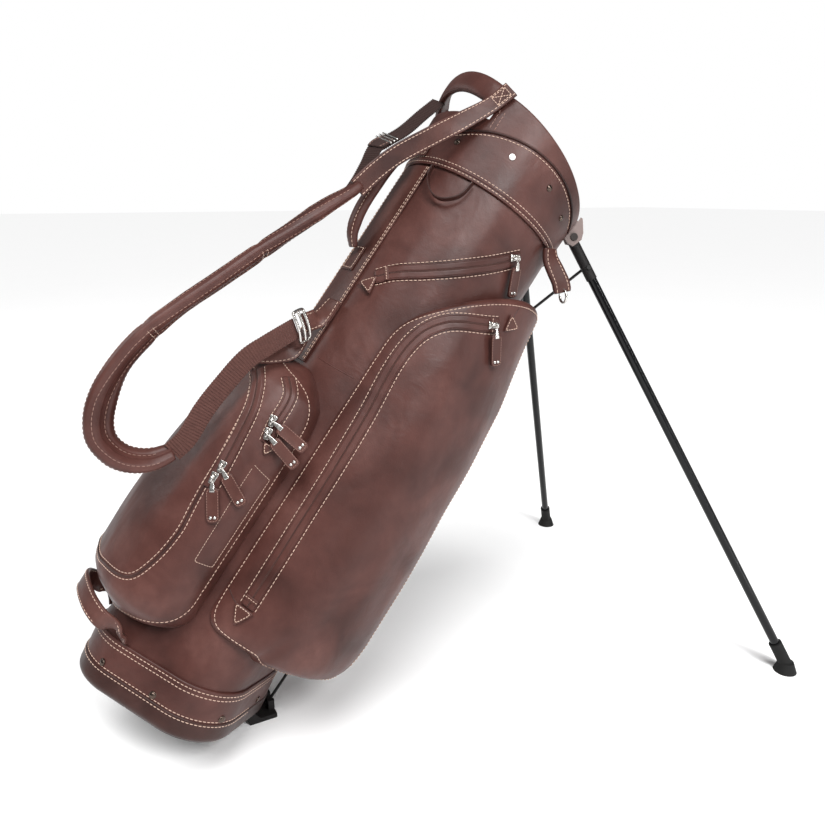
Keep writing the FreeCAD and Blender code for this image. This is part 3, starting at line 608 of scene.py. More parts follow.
def body_r(degrees, h):
    """The tube: rounded square at its foot, round higher up, with sag and gathers."""
    degrees, h = arrays(degrees, h)
    low = foot_reach(degrees)
    foot = low * np.cos(np.radians(degrees)) * math.tan(BEVEL) + CUFF_TOP
    share = np.clip((h - foot) / (ROUND_FROM - foot), 0, 1)
    r = low + (BODY_R - low) * share
    place = polar(110, degrees, h)
    sag = 0.9 * ripple(place, (70, 70, 110)) + 0.75 * ripple(place, (20, 20, 70), 5.0) - 0.25
    gather = np.clip((175 - h) / 70, 0, 1) * (0.9 * ripple(place, (13, 13, 60), 3.0) - 0.5)
    sag = sag * np.clip((h - foot) / 60, 0, 1) * np.clip((735 - h) / 40, 0.15, 1)
    return r - 0.55 + gather * np.clip((h - foot) / 25, 0, 1) + sag


# The pockets' shapes: how far they stand out at a height, and what share of that at a direction. The ball
# pocket's directions are from the spine, drawn in towards its ends by its span.
GARMENT_ROUND = ((236.4, 0.0), (237, 0.02), (242, 0.13), (249, 0.26), (258, 0.42), (270, 0.60), (284, 0.77),
                 (300, 0.91), (312, 0.98), (319, 0.985), (322, 0.955))
GARMENT_RISE = ((118, 30), (121, 36), (130, 58), (152, 68), (185, 71), (310, 67), (420, 61), (510, 54),
                (565, 45), (615, 37), (655, 32))
BALL_HALF = ((8, 1.0), (20, 0.99), (30, 0.90), (40, 0.71), (46, 0.49), (49, 0.25), (50.5, 0.0))
BALL_ROUND = tuple((-turn, share) for turn, share in BALL_HALF[::-1]) + BALL_HALF
BALL_BULGE = ((74, 4), (79, 16), (84, 29), (93, 43), (103, 56), (115, 64), (130, 66), (180, 67), (255, 64),
              (356, 55), (395, 49), (412, 40), (424, 24), (431, 8), (433, 2))
BALL_SPAN = ((74, 0.18), (79, 0.29), (84, 0.50), (93, 0.70), (103, 0.87), (115, 0.97), (130, 1.0), (255, 1.0),
             (356, 1.0), (395, 0.94), (412, 0.80), (424, 0.66), (431, 0.52), (433, 0.46))


def garment_r(degrees, h):
    """The near garment pocket's skin."""
    degrees, h = arrays(degrees, h)
    share = smooth(GARMENT_ROUND, degrees)
    bulge = smooth(GARMENT_RISE, h)
    place = polar(150, degrees, h)
    soft = 2.6 * ripple(place, (50, 50, 130), 2.0) + 1.3 * ripple(place, (24, 24, 80), 9.0)
    soft = soft * np.clip((600 - h) / 90, 0.2, 1)
    crease = -1.6 * np.exp(-((degrees - 287 - 0.04 * (h - 300)) / 5.0) ** 2) * np.clip((300 - h) / 120, 0, 1)
    fold = -6.0 * np.exp(-((degrees - 268.5 - 0.10 * (h - 120)) / 2.6) ** 2) * np.clip((172 - h) / 50, 0, 1)
    return POCKET_R + bulge * share + (soft - 1.0 + crease + fold) * np.clip(share * 2.2, 0, 1)


def ball_turn(degrees, h):
    """Direction from the spine, as a direction where the ball pocket is widest."""
    return (np.asarray(degrees, float) - 180) / smooth(BALL_SPAN, h)


def ball_r(degrees, h):
    """The ball pocket's skin."""
    degrees, h = arrays(degrees, h)
    turn = ball_turn(degrees, h)
    share = smooth(BALL_ROUND, turn)
    place = polar(160, degrees, h)
    soft = 1.5 * ripple(place, (50, 50, 90), 4.0) + 0.6 * ripple(place, (20, 20, 50), 7.0)
    front = 1.2 * np.exp(-((np.abs(turn) - 30) / 5.0) ** 2) * np.clip((400 - h) / 60, 0, 1)
    return POCKET_R + smooth(BALL_BULGE, h) * share + (soft - 0.8 + front) * np.clip(share * 1.6, 0, 1)


def cuff_r(degrees, h, offset=0.0):
    """The top cuff, which flares a little towards the mouth."""
    degrees, h = arrays(degrees, h)
    place = polar(113, degrees, h)
    soft = np.minimum(0.35 * ripple(place, 48.0, 3.0), 0.1)
    return CUFF_R + offset + FLARE * (h - CUFF_BOTTOM) + soft * np.clip((h - CUFF_BOTTOM) / 8, 0, 1)


def spot(surface, degrees, h):
    """Points on a surface."""
    degrees, h = arrays(degrees, h)
    return polar(surface(degrees, h), degrees, h)


def normal(surface, degrees, h):
    """Outward directions of a surface."""
    step = 0.5
    around = spot(surface, np.asarray(degrees) + step, h) - spot(surface, np.asarray(degrees) - step, h)
    up = spot(surface, degrees, np.asarray(h) + 1.0) - spot(surface, degrees, np.asarray(h) - 1.0)
    return unit(np.cross(around, up))


def route(surface, keys, spacing=2.0, lift=0.0):
    """Points and outward directions on a surface, along a smooth line through (degrees, height) keys."""
    keys = np.asarray(keys, float)
    scaled = keys * np.array([2.0, 1.0])
    line = spline(scaled, spacing) / np.array([2.0, 1.0])
    out = normal(surface, line[:, 0], line[:, 1])
    return spot(surface, line[:, 0], line[:, 1]) + out * lift, out


def degrees_at(surface, a, h, low, high):
    """Where the surface passes a given a at height h, between two directions, a growing from low to high."""
    a, h = arrays(a, h)
    low, high = np.full(a.shape, float(low)), np.full(a.shape, float(high))
    for _ in range(24):
        middle = (low + high) / 2
        more = spot(surface, middle, h)[..., 0] < a
        low, high = np.where(more, middle, low), np.where(more, high, middle)
    return (low + high) / 2


def side_route(surface, keys, low, high, spacing=2.0):
    """A line on a surface that follows (a, h) keys, as seen square to the near side."""
    line = spline(keys, spacing)
    degrees = degrees_at(surface, line[:, 0], line[:, 1], low, high)
    out = normal(surface, degrees, line[:, 1])
    return spot(surface, degrees, line[:, 1]), out


def beside(points, out, shift):
    """The line moved along its surface, square to itself."""
    _, across, _ = frames(points, out)
    return points + across * shift


def welt(name, points, out, material=None, r=1.3, sink=0.45, **more):
    """Piping or a seam's ridge, half sunk in the surface."""
    return sweep(name, points - out * sink, out, circle(r, 8), material or LEATHER_DARK, slot="leather",
                 **more)


# ---------------------------------------------------------------- body

def body():
    """The tube's leather, the strip down the spine and the seams."""
    degrees = np.arange(0, 360, 1.6)
    foot = foot_reach(degrees) * np.cos(np.radians(degrees)) * math.tan(BEVEL) + CUFF_TOP - 12
    lower = foot + (ROUND_FROM - foot) * np.linspace(0, 1, 44)[:, None]
    upper = np.arange(ROUND_FROM + 3.5, 738, 3.5)[:, None] + 0 * degrees
    outer = spot(body_r, degrees, np.vstack([lower, upper]))
    points, faces = walled(outer, outer - radial(outer) * 2.2, True)
    make("body_leather", points, faces, LEATHER, slot="leather", cad=["body_shell"])
    across = np.linspace(163.2, 196.8, 36)
    rows = np.arange(437.5, 720.5, 3.2)[:, None]
    grid = polar(BODY_R + 1.7 + 0.25 * ripple(polar(112, across, rows), 40.0), across, rows)
    points, faces = walled(grid, grid - radial(grid) * 1.7)
    make("spine_strip_leather", points, faces, LEATHER_TRIM, slot="leather", cad=["spine_strip"], bevel=0.6)
    for edge in (164.6, 195.4):
        for shift in (-0.8, 0.8):
            line = polar(BODY_R + 1.95, edge + shift, np.linspace(440, 719, 90))
            stitch(line, radial(line))
    for name, side in SIDES:
        keys = ((205, 451), (214, 450.5), (224, 451), (233, 452))
        line, out = route(body_r, [(180 + side * (d - 180), h) for d, h in keys])
        welt(f"panel_seam_{name}", line, out, LEATHER, r=0.8, sink=0.35)
    line, out = route(body_r, np.stack([np.zeros(60), np.linspace(118, 716, 60)], -1), 6.0)
    welt("belly_seam", line, out, LEATHER, r=1.2, sink=0.5)
    for shift in (-4.5, 4.5):
        stitch(beside(line, out, shift), out)


def bottom_round(radius, low, inset):
    """Quarter round of a bottom edge, as (height, inset) points from its top down."""
    angles = [math.radians(15 * k) for k in range(7)]
    return [(low + radius * (1 - math.sin(t)), inset + radius * (1 - math.cos(t))) for t in angles]


def without_slot(faces, grid):
    """Leaves out the faces over the slot that the foot lever swings in."""
    skip = ((np.abs(grid[..., 1]) < 38) & (grid[..., 0] > 60) & (grid[..., 2] < 34)).reshape(-1)
    return [f for f in faces if not all(skip[i % len(skip)] for i in f)]


def thicken(obj, thick):
    skin = obj.modifiers.new("thickness", "SOLIDIFY")
    skin.thickness = thick / 1000
    skin.offset = -1


STUD_HEIGHT = 36.0
studs = {"dark": [], "bright": [], "low": []}


def base_wave(degrees):
    """Wander of the base's upper edge."""
    return 0.5 * np.sin(np.radians(degrees * 3 + 40))


def base():
    """The base's leather, the darker band round its rim, four rows of stitches and the studs."""
    degrees = np.arange(0, 360, 1.5)
    profile = [(BASE_BOTTOM, 21.5), (BASE_BOTTOM, 14.0)] + bottom_round(BASE_ROUND, BASE_BOTTOM, 0.0)[::-1]
    profile += [(h, 0.0) for h in np.arange(14, 65.5, 2.5)]
    profile += [(66.2, 0.0), (67.3, 0.35), (68.1, 1.2), (68.1, 2.0), (67.3, 2.9), (66.0, 3.1), (60, 3.0)]
    height, inset = np.array(profile).T[:, :, None]
    grid = base_point(degrees, height + base_wave(degrees) * (height > 60), inset)
    inner = base_point(degrees, np.maximum(height, BASE_BOTTOM + 2.4), inset + 2.5)
    points, faces = walled(grid, inner, True)
    make("base_leather", points, without_slot(faces, grid), LEATHER, slot="leather", cad=["base_cuff"])
    band = [(BASE_BOTTOM + 1.0, 6.0)] + bottom_round(9.3, BASE_BOTTOM - 0.6, -1.3)
    band = sorted(band) + [(h, -1.3) for h in np.arange(15, 28, 2.5)]
    band += [(28.6, -1.3), (29.6, -1.0), (30.0, -0.3), (30.0, 0.2)]
    height, inset = np.array(band).T[:, :, None]
    grid = base_point(degrees, height, inset)
    faces = without_slot(grid_faces(*grid.shape[:2], loop_cols=True), grid)
    rim_skin = make("base_rim_leather", grid.reshape(-1, 3), faces, LEATHER_DARK, slot="leather",
                    cad=["base_rim_band"])
    thicken(rim_skin, 1.1)
    for height, lift, start, stop in ((63.8, 0.1, 0, 360), (58.6, 0.1, 0, 360), (31.8, 0.1, 47, 313),
                                      (26.8, 1.4, 47, 313)):
        around = np.arange(start, stop + 1, 1.0)
        line = base_point(around, height + base_wave(around) * (height > 55), -lift)
        stitch(line, unit(line - base_point(around, height, 8)))
    for angle in (18, 57, 100, 145):
        for _, side in SIDES:
            centre = base_point(180 + side * angle, STUD_HEIGHT)
            out = unit(centre - base_point(180 + side * angle, STUD_HEIGHT, 10.0))
            studs["low"].append((centre, out, 4.4))


def domes(spots, sides):
    """Domed heads with rolled rims; a spot is a centre, two ways across, outward, radius and rise."""
    points, faces = [], []
    for centre, u, v, out, r, rise in spots:
        start = len(points)
        profile = ((0.001 / r, rise), (0.3, rise * 0.96), (0.55, rise * 0.82), (0.70, rise * 0.62),
                   (0.76, rise * 0.50), (0.84, rise * 0.56), (0.94, rise * 0.50), (1, rise * 0.28), (1, -0.6))
        for share, height in profile:
            for t in turns(sides):
                points.append(centre + (u * math.cos(t) + v * math.sin(t)) * (share * r) + out * height)
        faces += grid_faces(len(profile), sides, loop_cols=True, start=start)
        faces.append(caps(len(profile), sides, start)[1])
    return points, faces


def place_studs():
    kinds = (("dark", "top_studs_dark", ANTIQUE, ["top_studs"]),
             ("bright", "top_studs_bright", STUD_SILVER, []),
             ("low", "base_studs_dark", ANTIQUE, ["base_studs"]))
    for kind, name, finish, cad in kinds:
        spots = []
        for centre, out, r in studs[kind]:
            u = unit(np.cross(out, [0.3, 0.5, 0.8]))
            spots.append((centre, u, np.cross(out, u), out, r, 2.2))
        points, faces = domes(spots, 20)
        make(name, points, faces, finish, slot="antique", cad=cad)


# ---------------------------------------------------------------- top cuff, rim, handle, divider

def cuff_edge(degrees):
    """Height of the top cuff's upper edge, where the rim band begins."""
    a, y = 114.5 * np.cos(np.radians(degrees)), 114.5 * np.sin(np.radians(degrees))
    edge = 735 - 0.12 * a + 0.5 * np.abs(y)
    from_belly = np.abs((np.asarray(degrees) + 180) % 360 - 180)
    return np.where(from_belly < 42, np.maximum(edge, 783.5), edge)


def mouth_edge(degrees):
    """Height of the sloping mouth."""
    return MOUTH_H - MOUTH_SLOPE * 115.5 * np.cos(np.radians(degrees))


def rim_r(degrees, h):
    """The rim band, on top of the cuff."""
    return cuff_r(degrees, h, 2.0)


def top():
    degrees = np.arange(0, 360, 1.5)
    edge = np.minimum(cuff_edge(degrees) + 3, mouth_edge(degrees) - 0.5)
    heights = CUFF_BOTTOM + (edge - CUFF_BOTTOM) * np.linspace(0, 1, 30)[:, None]
    outer = spot(cuff_r, degrees, heights)
    points, faces = walled(outer, outer - radial(outer) * 2.3, True)
    make("top_cuff_leather", points, faces, LEATHER, slot="leather", cad=["top_cuff"], bevel=0.7)
    around = np.arange(0, 361, 1.0)
    for height in (CUFF_BOTTOM + 3.0, CUFF_BOTTOM + 9.0):
        stitch(spot(cuff_r, around, height), normal(cuff_r, around, height))
    height = CUFF_BOTTOM + 6.0
    line, out = spot(cuff_r, around, height), normal(cuff_r, around, height)
    welt("cuff_piping", line, out, LEATHER, r=1.5, sink=0.6)
    rim()
    for angle, h, kind in ((206, 758, "dark"), (241, 771, "bright"), (271, 771, "dark"), (294, 760, "dark")):
        for degrees, finish in ((angle, kind), (360 - angle, "dark")):
            studs[finish].append((spot(cuff_r, degrees, h), unit(polar(1, degrees, 0)), 3.9))
    around = np.arange(48, 313, 1.0)
    height = cuff_edge(around) - 4.2
    stitch(spot(cuff_r, around, height), normal(cuff_r, around, height))


def rim():
    """The band round the mouth: rolled leather over the frame, with the hand hole cut out at the spine."""
    fine = np.arange(42.2, 318, 1.4)
    low = cuff_edge(fine)
    high = np.where(np.abs(fine - 180) < HAND_HOLE, 797.0, mouth_edge(fine))
    keep = high - low > 3
    fine, low, high = fine[keep], low[keep], high[keep]
    profile = [(0.0, 0.3), (0.0, 1.6), (0.012, 2.0)] + [(s, 2.0) for s in np.linspace(0.05, 0.93, 18)]
    profile += [(0.975, 1.75), (0.995, 1.0), (1.0, 0.0), (0.995, -1.2), (0.975, -2.2), (0.90, -2.4)]
    share, offset = np.array(profile).T[:, :, None]
    h = low + (high - low) * share
    grid = polar(cuff_r(fine, h, offset), fine, h)
    thicken(sheet("rim_leather", grid, LEATHER, slot="leather", cad=["rim_band"]), 1.2)
    around = np.arange(48, 313, 1.0)
    height = cuff_edge(around) + 0.2
    line, out = spot(rim_r, around, height), normal(cuff_r, around, height)
    welt("rim_piping", line, out, LEATHER_DARK, r=1.4, sink=0.9)
    for _, side in SIDES:
        for shift in (-1.6, 1.6):
            angle = 180 + side * (42 + shift)
            line, out = route(rim_r, [(angle, 787), (angle, 812)])
            stitch(line, out, kind="brown", thick=0.9)


def arch():
    """Padded leather handle over the hand hole."""
    across = np.linspace(-37.9, 37.9, 56)
    rise = np.cos(np.radians(across / 37.9 * 90))
    centre = polar(116.5 + 3.5 * rise, 180 + across, 824 + 14 * rise)
    section = [(14.0 * blunt(math.sin(t), 0.8), 5.7 * blunt(math.cos(t), 0.8)) for t in turns(28)]
    out = unit(polar(1, 180 + across, 0))
    handle = sweep("arch_handle", centre, out, section, LEATHER, slot="leather", cad=["top_handle"])
    _, across, out = frames(centre, out)
    for shift in (-11.6, 11.6):
        stitch(centre + across * shift + out * 2.9, unit(out + across * np.sign(shift) * 0.6))


def divider_edge(degrees):
    return np.minimum(DIVIDER_H[1], 798.0 - MOUTH_SLOPE * 103 * np.cos(np.radians(degrees)))


def divider():
    """Two padded bars that cross in the mouth, and the ring that they are sewn to."""
    low = DIVIDER_H[0] + 1.5
    for name, crosses in (("divider_bar_long", False), ("divider_bar_cross", True)):
        rows = []
        for u in np.linspace(2.2 - DIVIDER_R, DIVIDER_R - 2.2, 60):
            high = min(796.5 - MOUTH_SLOPE * (0.0 if crosses else u), DIVIDER_H[1] - 1.0)
            section = rounded(4.4, (high - low) / 2, 24, 0.6, 0.5)
            rows.append([(w, u, (low + high) / 2 + z) if crosses else (u, w, (low + high) / 2 + z)
                         for w, z in section])
        bar = sheet(name, np.array(rows), DIVIDER, loop=True, ends=True, slot="divider_cloth",
                    cad=["club_divider"] if crosses else [])
    degrees = np.arange(0, 360, 3.0)
    heights = DIVIDER_H[0] + (divider_edge(degrees) - DIVIDER_H[0]) * np.linspace(0, 1, 9)[:, None]
    points, faces = walled(polar(DIVIDER_R, degrees, heights), polar(100.5, degrees, heights), True)
    make("divider_ring", points, faces, DIVIDER, slot="divider_cloth", bevel=1.2)
    around = np.arange(0, 361, 2.0)
    stitch(polar(100.4, around, divider_edge(around) - 4), -unit(polar(1, around, 0)), kind="brown")


# ---------------------------------------------------------------- pockets

def corner_drop(distance, radius):
    """How far a rounded corner falls back from an edge, near its end."""
    inside = np.clip(radius - distance, 0, radius)
    return radius - np.sqrt(np.maximum(radius ** 2 - inside ** 2, 0))


def garment_top(degrees):
    """Height of the pocket's top edge, where its sloping cut meets the skin."""
    h = np.full(np.shape(degrees), 560.0)
    for _ in range(30):
        r = 111 + smooth(GARMENT_RISE, h) * smooth(GARMENT_ROUND, degrees)
        a, y = r * np.cos(np.radians(degrees)), r * np.sin(np.radians(degrees))
        h = 0.5 * h + 0.5 * (TOP_CUT_H + TOP_CUT_A * a + TOP_CUT_Y * y)
    left = np.radians(degrees - GARMENT_FROM) * 113
    right = np.radians(GARMENT_TO - degrees) * 148
    return h - corner_drop(left, 24) - corner_drop(right, 16)


def garment_bottom(degrees):
    """Height of the pocket's lower edge, tucked up on the spine side."""
    left = np.radians(degrees - GARMENT_FROM) * 113
    right = np.radians(GARMENT_TO - degrees) * 165
    tuck = 11 / (1 + np.exp((np.asarray(degrees) - 268.5) / 1.3))
    return 116.5 + tuck + corner_drop(left, 20) + corner_drop(right, 18)


def garment_grid():
    """The skin, row by row from the body round the lower edge, the front and the top, and its end wall."""
    degrees = np.concatenate([np.linspace(GARMENT_FROM, 246, 12)[:-1], np.linspace(246, 314, 62)[:-1],
                              np.linspace(314, GARMENT_TO, 14)])
    low, high = garment_bottom(degrees), garment_top(degrees)
    share = smooth(GARMENT_ROUND, degrees)
    drop_right = corner_drop(np.radians(GARMENT_TO - degrees) * 170, 6.5) * share
    depth, top_depth = (np.minimum(7.0, smooth(GARMENT_RISE, h) * share * 0.8 + 0.3) for h in (low, high))
    floor = 109.6

    def row(h, drop):
        return np.maximum(garment_r(degrees, h) - drop_right - drop, floor)

    rows = []
    for t in (0.0, 0.3, 0.6, 0.85):
        rows.append((floor + (row(low, depth) - floor) * t, low))
    for turn in (math.radians(18 * k) for k in range(1, 6)):
        h = low + depth * (1 - math.cos(turn))
        rows.append((row(h, depth * (1 - math.sin(turn))), h))
    for t in np.linspace(0, 1, 150)[1:-1]:
        h = low + depth + (high - low - depth * 2) * t
        rows.append((row(h, 0.0), h))
    for turn in (math.radians(18 * k) for k in range(6)):
        h = high - top_depth * (1 - math.sin(turn))
        rows.append((row(h, top_depth * (1 - math.cos(turn))), h))
    full = row(high, top_depth)
    slope = TOP_CUT_A * np.cos(np.radians(degrees)) + TOP_CUT_Y * np.sin(np.radians(degrees))
    for t in (0.8, 0.5, 0.2, 0.0):
        rows.append((floor + (full - floor) * t, high - slope * (full - floor) * (1 - t)))
    grid = np.array([polar(r, degrees, h) for r, h in rows])
    r, height = np.linalg.norm(grid[:, -1, :2], axis=-1), grid[:, -1, 2]
    wall = []
    for t in np.linspace(0, 1, 14)[1:]:
        inward = floor + (r - floor) * (1 - t)
        bow = 0.9 * math.sin(math.pi * t) * np.clip((r - floor) / 40, 0, 1)
        under_cut = np.minimum(height, high[-1] - slope[-1] * (full[-1] - inward))
        wall.append(polar(inward, GARMENT_TO + bow, under_cut))
    return np.concatenate([grid, np.stack(wall, 1)], 1)


def garment(name, side):
    """A garment pocket with its stitch rows, its zip and two seams."""
    flip = on_side(side)
    sheet(f"garment_pocket_leather_{name}", flip(garment_grid()), LEATHER, slot="leather",
          cad=[f"garment_pocket_{name}"])
    keys = [(316, 134), (300, 124), (286, 122), (274, 123), (270.5, 127), (267, 132), (262, 132.5),
            (252, 132.5), (245, 134), (240.6, 141), (238.5, 154), (238.1, 200)]
    keys += [(238.1, h) for h in (260, 330, 400, 450, 490)] + [(238.6, 515)]
    tops = np.array([241, 245, 251, 258, 266, 275, 284, 293, 301, 308, 313.5, 317])
    keys += zip(tops, garment_top(tops) - 6.5)
    end = garment_top(np.array([319.6]))[0]
    keys += [(319.6, end - 14)] + [(319.9, h) for h in (end - 60, end - 130, 400, 300, 200)] + [(319.0, 150)]
    line, out = route(garment_r, keys, 2.0, 0.15)
    stitch(flip(line), flip(out))
    opening = [(-41, 172), (-42, 280), (-43, 421), (-46, 486), (-44, 521), (-36, 547), (-19, 568), (21, 591),
               (31, 597)]
    line, out = side_route(garment_r, opening, 240, 316)
    zipper(f"garment_{name}", flip(line), flip(out), [f"garment_zip_{name}"])
    for end, at in (("low", 5), ("high", -6)):
        zip_end_bar(f"zip_end_bar_garment_{end}_{name}", flip(line), flip(out), at)
    seams = ((238.5, 176), (244, 170), (249.5, 166)), ((288, 598), (289, 612), (290, 632))
    for number, keys in enumerate(seams):
        line, out = route(garment_r, keys, 2.0)
        welt(f"garment_panel_seam_{number}_{name}", flip(line), flip(out), LEATHER_DARK, r=0.7, sink=0.3)


def zipper(name, line, out, cad, half=10.6, lips=6.6):
    """Zip under two leather lips: coil in a dark groove, lips either side, a stitch row outside each."""
    for letter, way in (("a", -1), ("b", 1)):
        lip = beside(line, out, way * (lips / 2 + 0.75)) + out * 1.1
        obj = sweep(f"zip_lip_{name}_{letter}", lip, out, flat_section(lips, 1.8, 0.8), LEATHER,
                    slot="leather")
        if way < 0:
            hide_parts(*cad)
        stitch(beside(line, out, way * half) + out * 0.2, out)
        fold = beside(line, out, way * (lips + 1.2)) + out * 0.7
        sweep(f"zip_fold_{name}_{letter}", fold, out, circle(0.75, 6), LEATHER, slot="leather")
    spots, outs = evenly(line, out, 0.55)
    beat = 1.0 + 0.28 * np.sin(np.arange(len(spots)) * math.pi / 1.5)
    sweep(f"zip_coil_{name}", spots + outs * 0.8, outs, circle(1.3, 6, 0.75), TAPE, scale=beat,
          slot="zip_tape")


def zip_end_bar(name, line, out, at, half=8.6):
    """Leather bar sewn across the zip's end."""
    _, across, facing = frames(line, out)
    reach = np.linspace(-half, half, 14)[:, None]
    bar = line[at] + across[at] * reach + facing[at] * 2.3
    sweep(name, bar, facing[at], flat_section(5.4, 1.6, 0.6), LEATHER_TRIM, slot="leather")
    stitch(bar + facing[at] * 0.8, facing[at], pitch=3.2, length=2.4, thick=0.8)


def polyline(corners, steps, closed=False):
    """Even steps along each side of an outline, both ends of each side among them."""
    corners = np.asarray(corners, float)
    ends = np.roll(corners, -1, 0) if closed else corners[1:]
    shares = np.linspace(0, 1, steps)[:, None]
    return [first + (second - first) * shares for first, second in zip(corners, ends)]


def ball_grid():
    """The pocket's skin from below upwards, its edges sewn to the body."""
    heights = spline(np.array(BALL_BULGE), 3.2)[:, 0:1]
    outline = spline(np.array(BALL_ROUND) * (2.2, 66), 2.0) / (2.2, 66)
    across, shares = outline.T
    degrees = 180 + across * smooth(BALL_SPAN, heights)
    edge = np.clip((np.abs(across) - 47) / 2.0, 0, 1)
    exact = POCKET_R + smooth(BALL_BULGE, heights) * shares
    r = np.maximum(ball_r(degrees, heights) * (1 - edge) + exact * edge, POCKET_R - 1)
    low_cap = polar(108.0, degrees[0], heights[0] - 0.5)
    high_cap = polar(108.0, degrees[-1], heights[-1] + 0.5)
    return np.concatenate([low_cap[None], polar(r, degrees, heights), high_cap[None]], 0)


def ball():
    """The ball pocket's skin, its front panel with piping, the stitch rows down its sides and two zips."""
    sheet("ball_pocket_leather", ball_grid(), LEATHER, slot="leather", cad=["ball_pocket"])
    panel = [(-173, -18, 123), (-159, -70, 134), (-149, -84, 159), (-142, -89, 204), (-144, -86, 243),
             (-145.6, -84, 264), (-145, -80, 302), (-146, -73, 339), (-149, -61, 373), (-152, -49, 391)]
    near = [(math.degrees(math.atan2(y, a)) % 360, h) for a, y, h in panel]
    far = [(360 - d, h) for d, h in near[::-1]]
    loop = near + [(188, 399), (180, 401), (172, 399)] + far + [(180, 121.5), near[0]]
    line, out = route(ball_r, loop, 2.0, 0.1)
    welt("ball_panel_piping", line, out, LEATHER_DARK, r=1.7, sink=0.5, closed=False)
    for shift in (3.4, -3.4):
        stitch(beside(line, out, shift), out)
    lower = [(180.5, 81.5), (190, 84.5), (200, 89.5), (210, 96.5), (219, 106), (225.5, 118), (228.4, 133),
             (228.8, 160), (228.8, 200), (228.8, 252), (228.7, 299), (228.6, 340)]
    back = [(228.6, 340), (228.0, 360), (226.6, 382), (222.5, 400), (214.5, 412), (204, 419), (192, 424.5),
            (180.5, 426)]
    corners = [(220.3, 311), (229.0, 303), (231.6, 191), (221.6, 189), (220.3, 311)]
    gusset = np.vstack([edge[:-1] for edge in polyline(corners, 30)])
    degrees, heights = np.minimum(gusset[:, 0], 227.4), gusset[:, 1]
    for _, side in SIDES:
        flip = on_side(side)
        for keys in (lower, back):
            line, out = route(ball_r, keys, 2.0, 0.1)
            stitch(flip(line), flip(out))
        out = normal(ball_r, degrees, heights)
        stitch(flip(spot(ball_r, degrees, heights) + out * 0.2), flip(out), pitch=3.4, length=2.7, thick=0.62)
    front = [(-141.5, 264), (-142, 300), (-143, 331), (-144.5, 363), (-149, 388), (-152, 400)]
    line, out = side_route(ball_r, front, 184, 229)
    zipper("ball_front", line, out, ["ball_zip_front"], 9.6, 6.0)
    back = [(-117, 338), (-120, 362), (-119, 385), (-120, 398), (-126, 412)]
    line, out = side_route(ball_r, back, 184, 229)
    zipper("ball_back", line, out, ["ball_zip_back"], 8.2, 5.0)


def side_pocket():
    """Slanting zip high on the near side."""
    keys = [(-97, 567), (-86, 583), (-66, 601), (-40, 624), (-6, 655), (24, 685)]
    line, out = side_route(lambda d, h: body_r(d, h) + 0.5, keys, 184, 300)
    zipper("side", line, out, ["side_zip"])
    zip_end_bar("zip_end_bar_side", line, out, 6)


# ---------------------------------------------------------------- straps and handles

DOWN = np.array([math.sin(LEAN), 0.0, -math.cos(LEAN)])        # world down, in bag axes
OUTWARD = (0.0, -1.0, 0.0)


def edge_stitches(line, out, wide, thick, inset=2.6, both_faces=True, **more):
    for way in (-1, 1):
        moved = beside(line, out, way * (wide / 2 - inset))
        stitch(moved + out * thick / 2, out, **more)
        if both_faces:
            stitch(moved - out * thick / 2, -out, **more)


def ribbed(name, line, out, wide, thick, material, cad=(), slot="webbing"):
    """Webbing with ribs across it."""
    step, rib = 0.55, 3.3
    spots, outs = evenly(line, out, step)
    beat = np.sin(np.arange(len(spots)) * 2 * math.pi * step / rib)
    scale = np.stack([0.985 + 0.012 * beat, 1.0 + 0.42 * beat], -1)
    return sweep(name, spots, outs, flat_section(wide, thick, 0.7), material, scale=scale, slot=slot, cad=cad)


def stitched_strap(name, points, faces, wide, thick, inset=2.6, corner=0.9, cad=()):
    """Flat leather strap with a row of stitches along each edge of both faces."""
    line, out = strap_line(points, faces)
    sweep(name, line, out, flat_section(wide, thick, corner), LEATHER_TRIM, slot="leather", cad=cad)
    edge_stitches(line, out, wide, thick, inset)
    return line, out


PAD_HALF, PAD_RISE, PAD_STEP = 19.0, 8.8, 2.0
PAD_BANDS = (0.275, 0.565)       # where rows of stitches cross the pad, as shares of its length


def pad_groove(x):
    return np.exp(-((np.abs(x) - 3.2) / 1.5) ** 2)


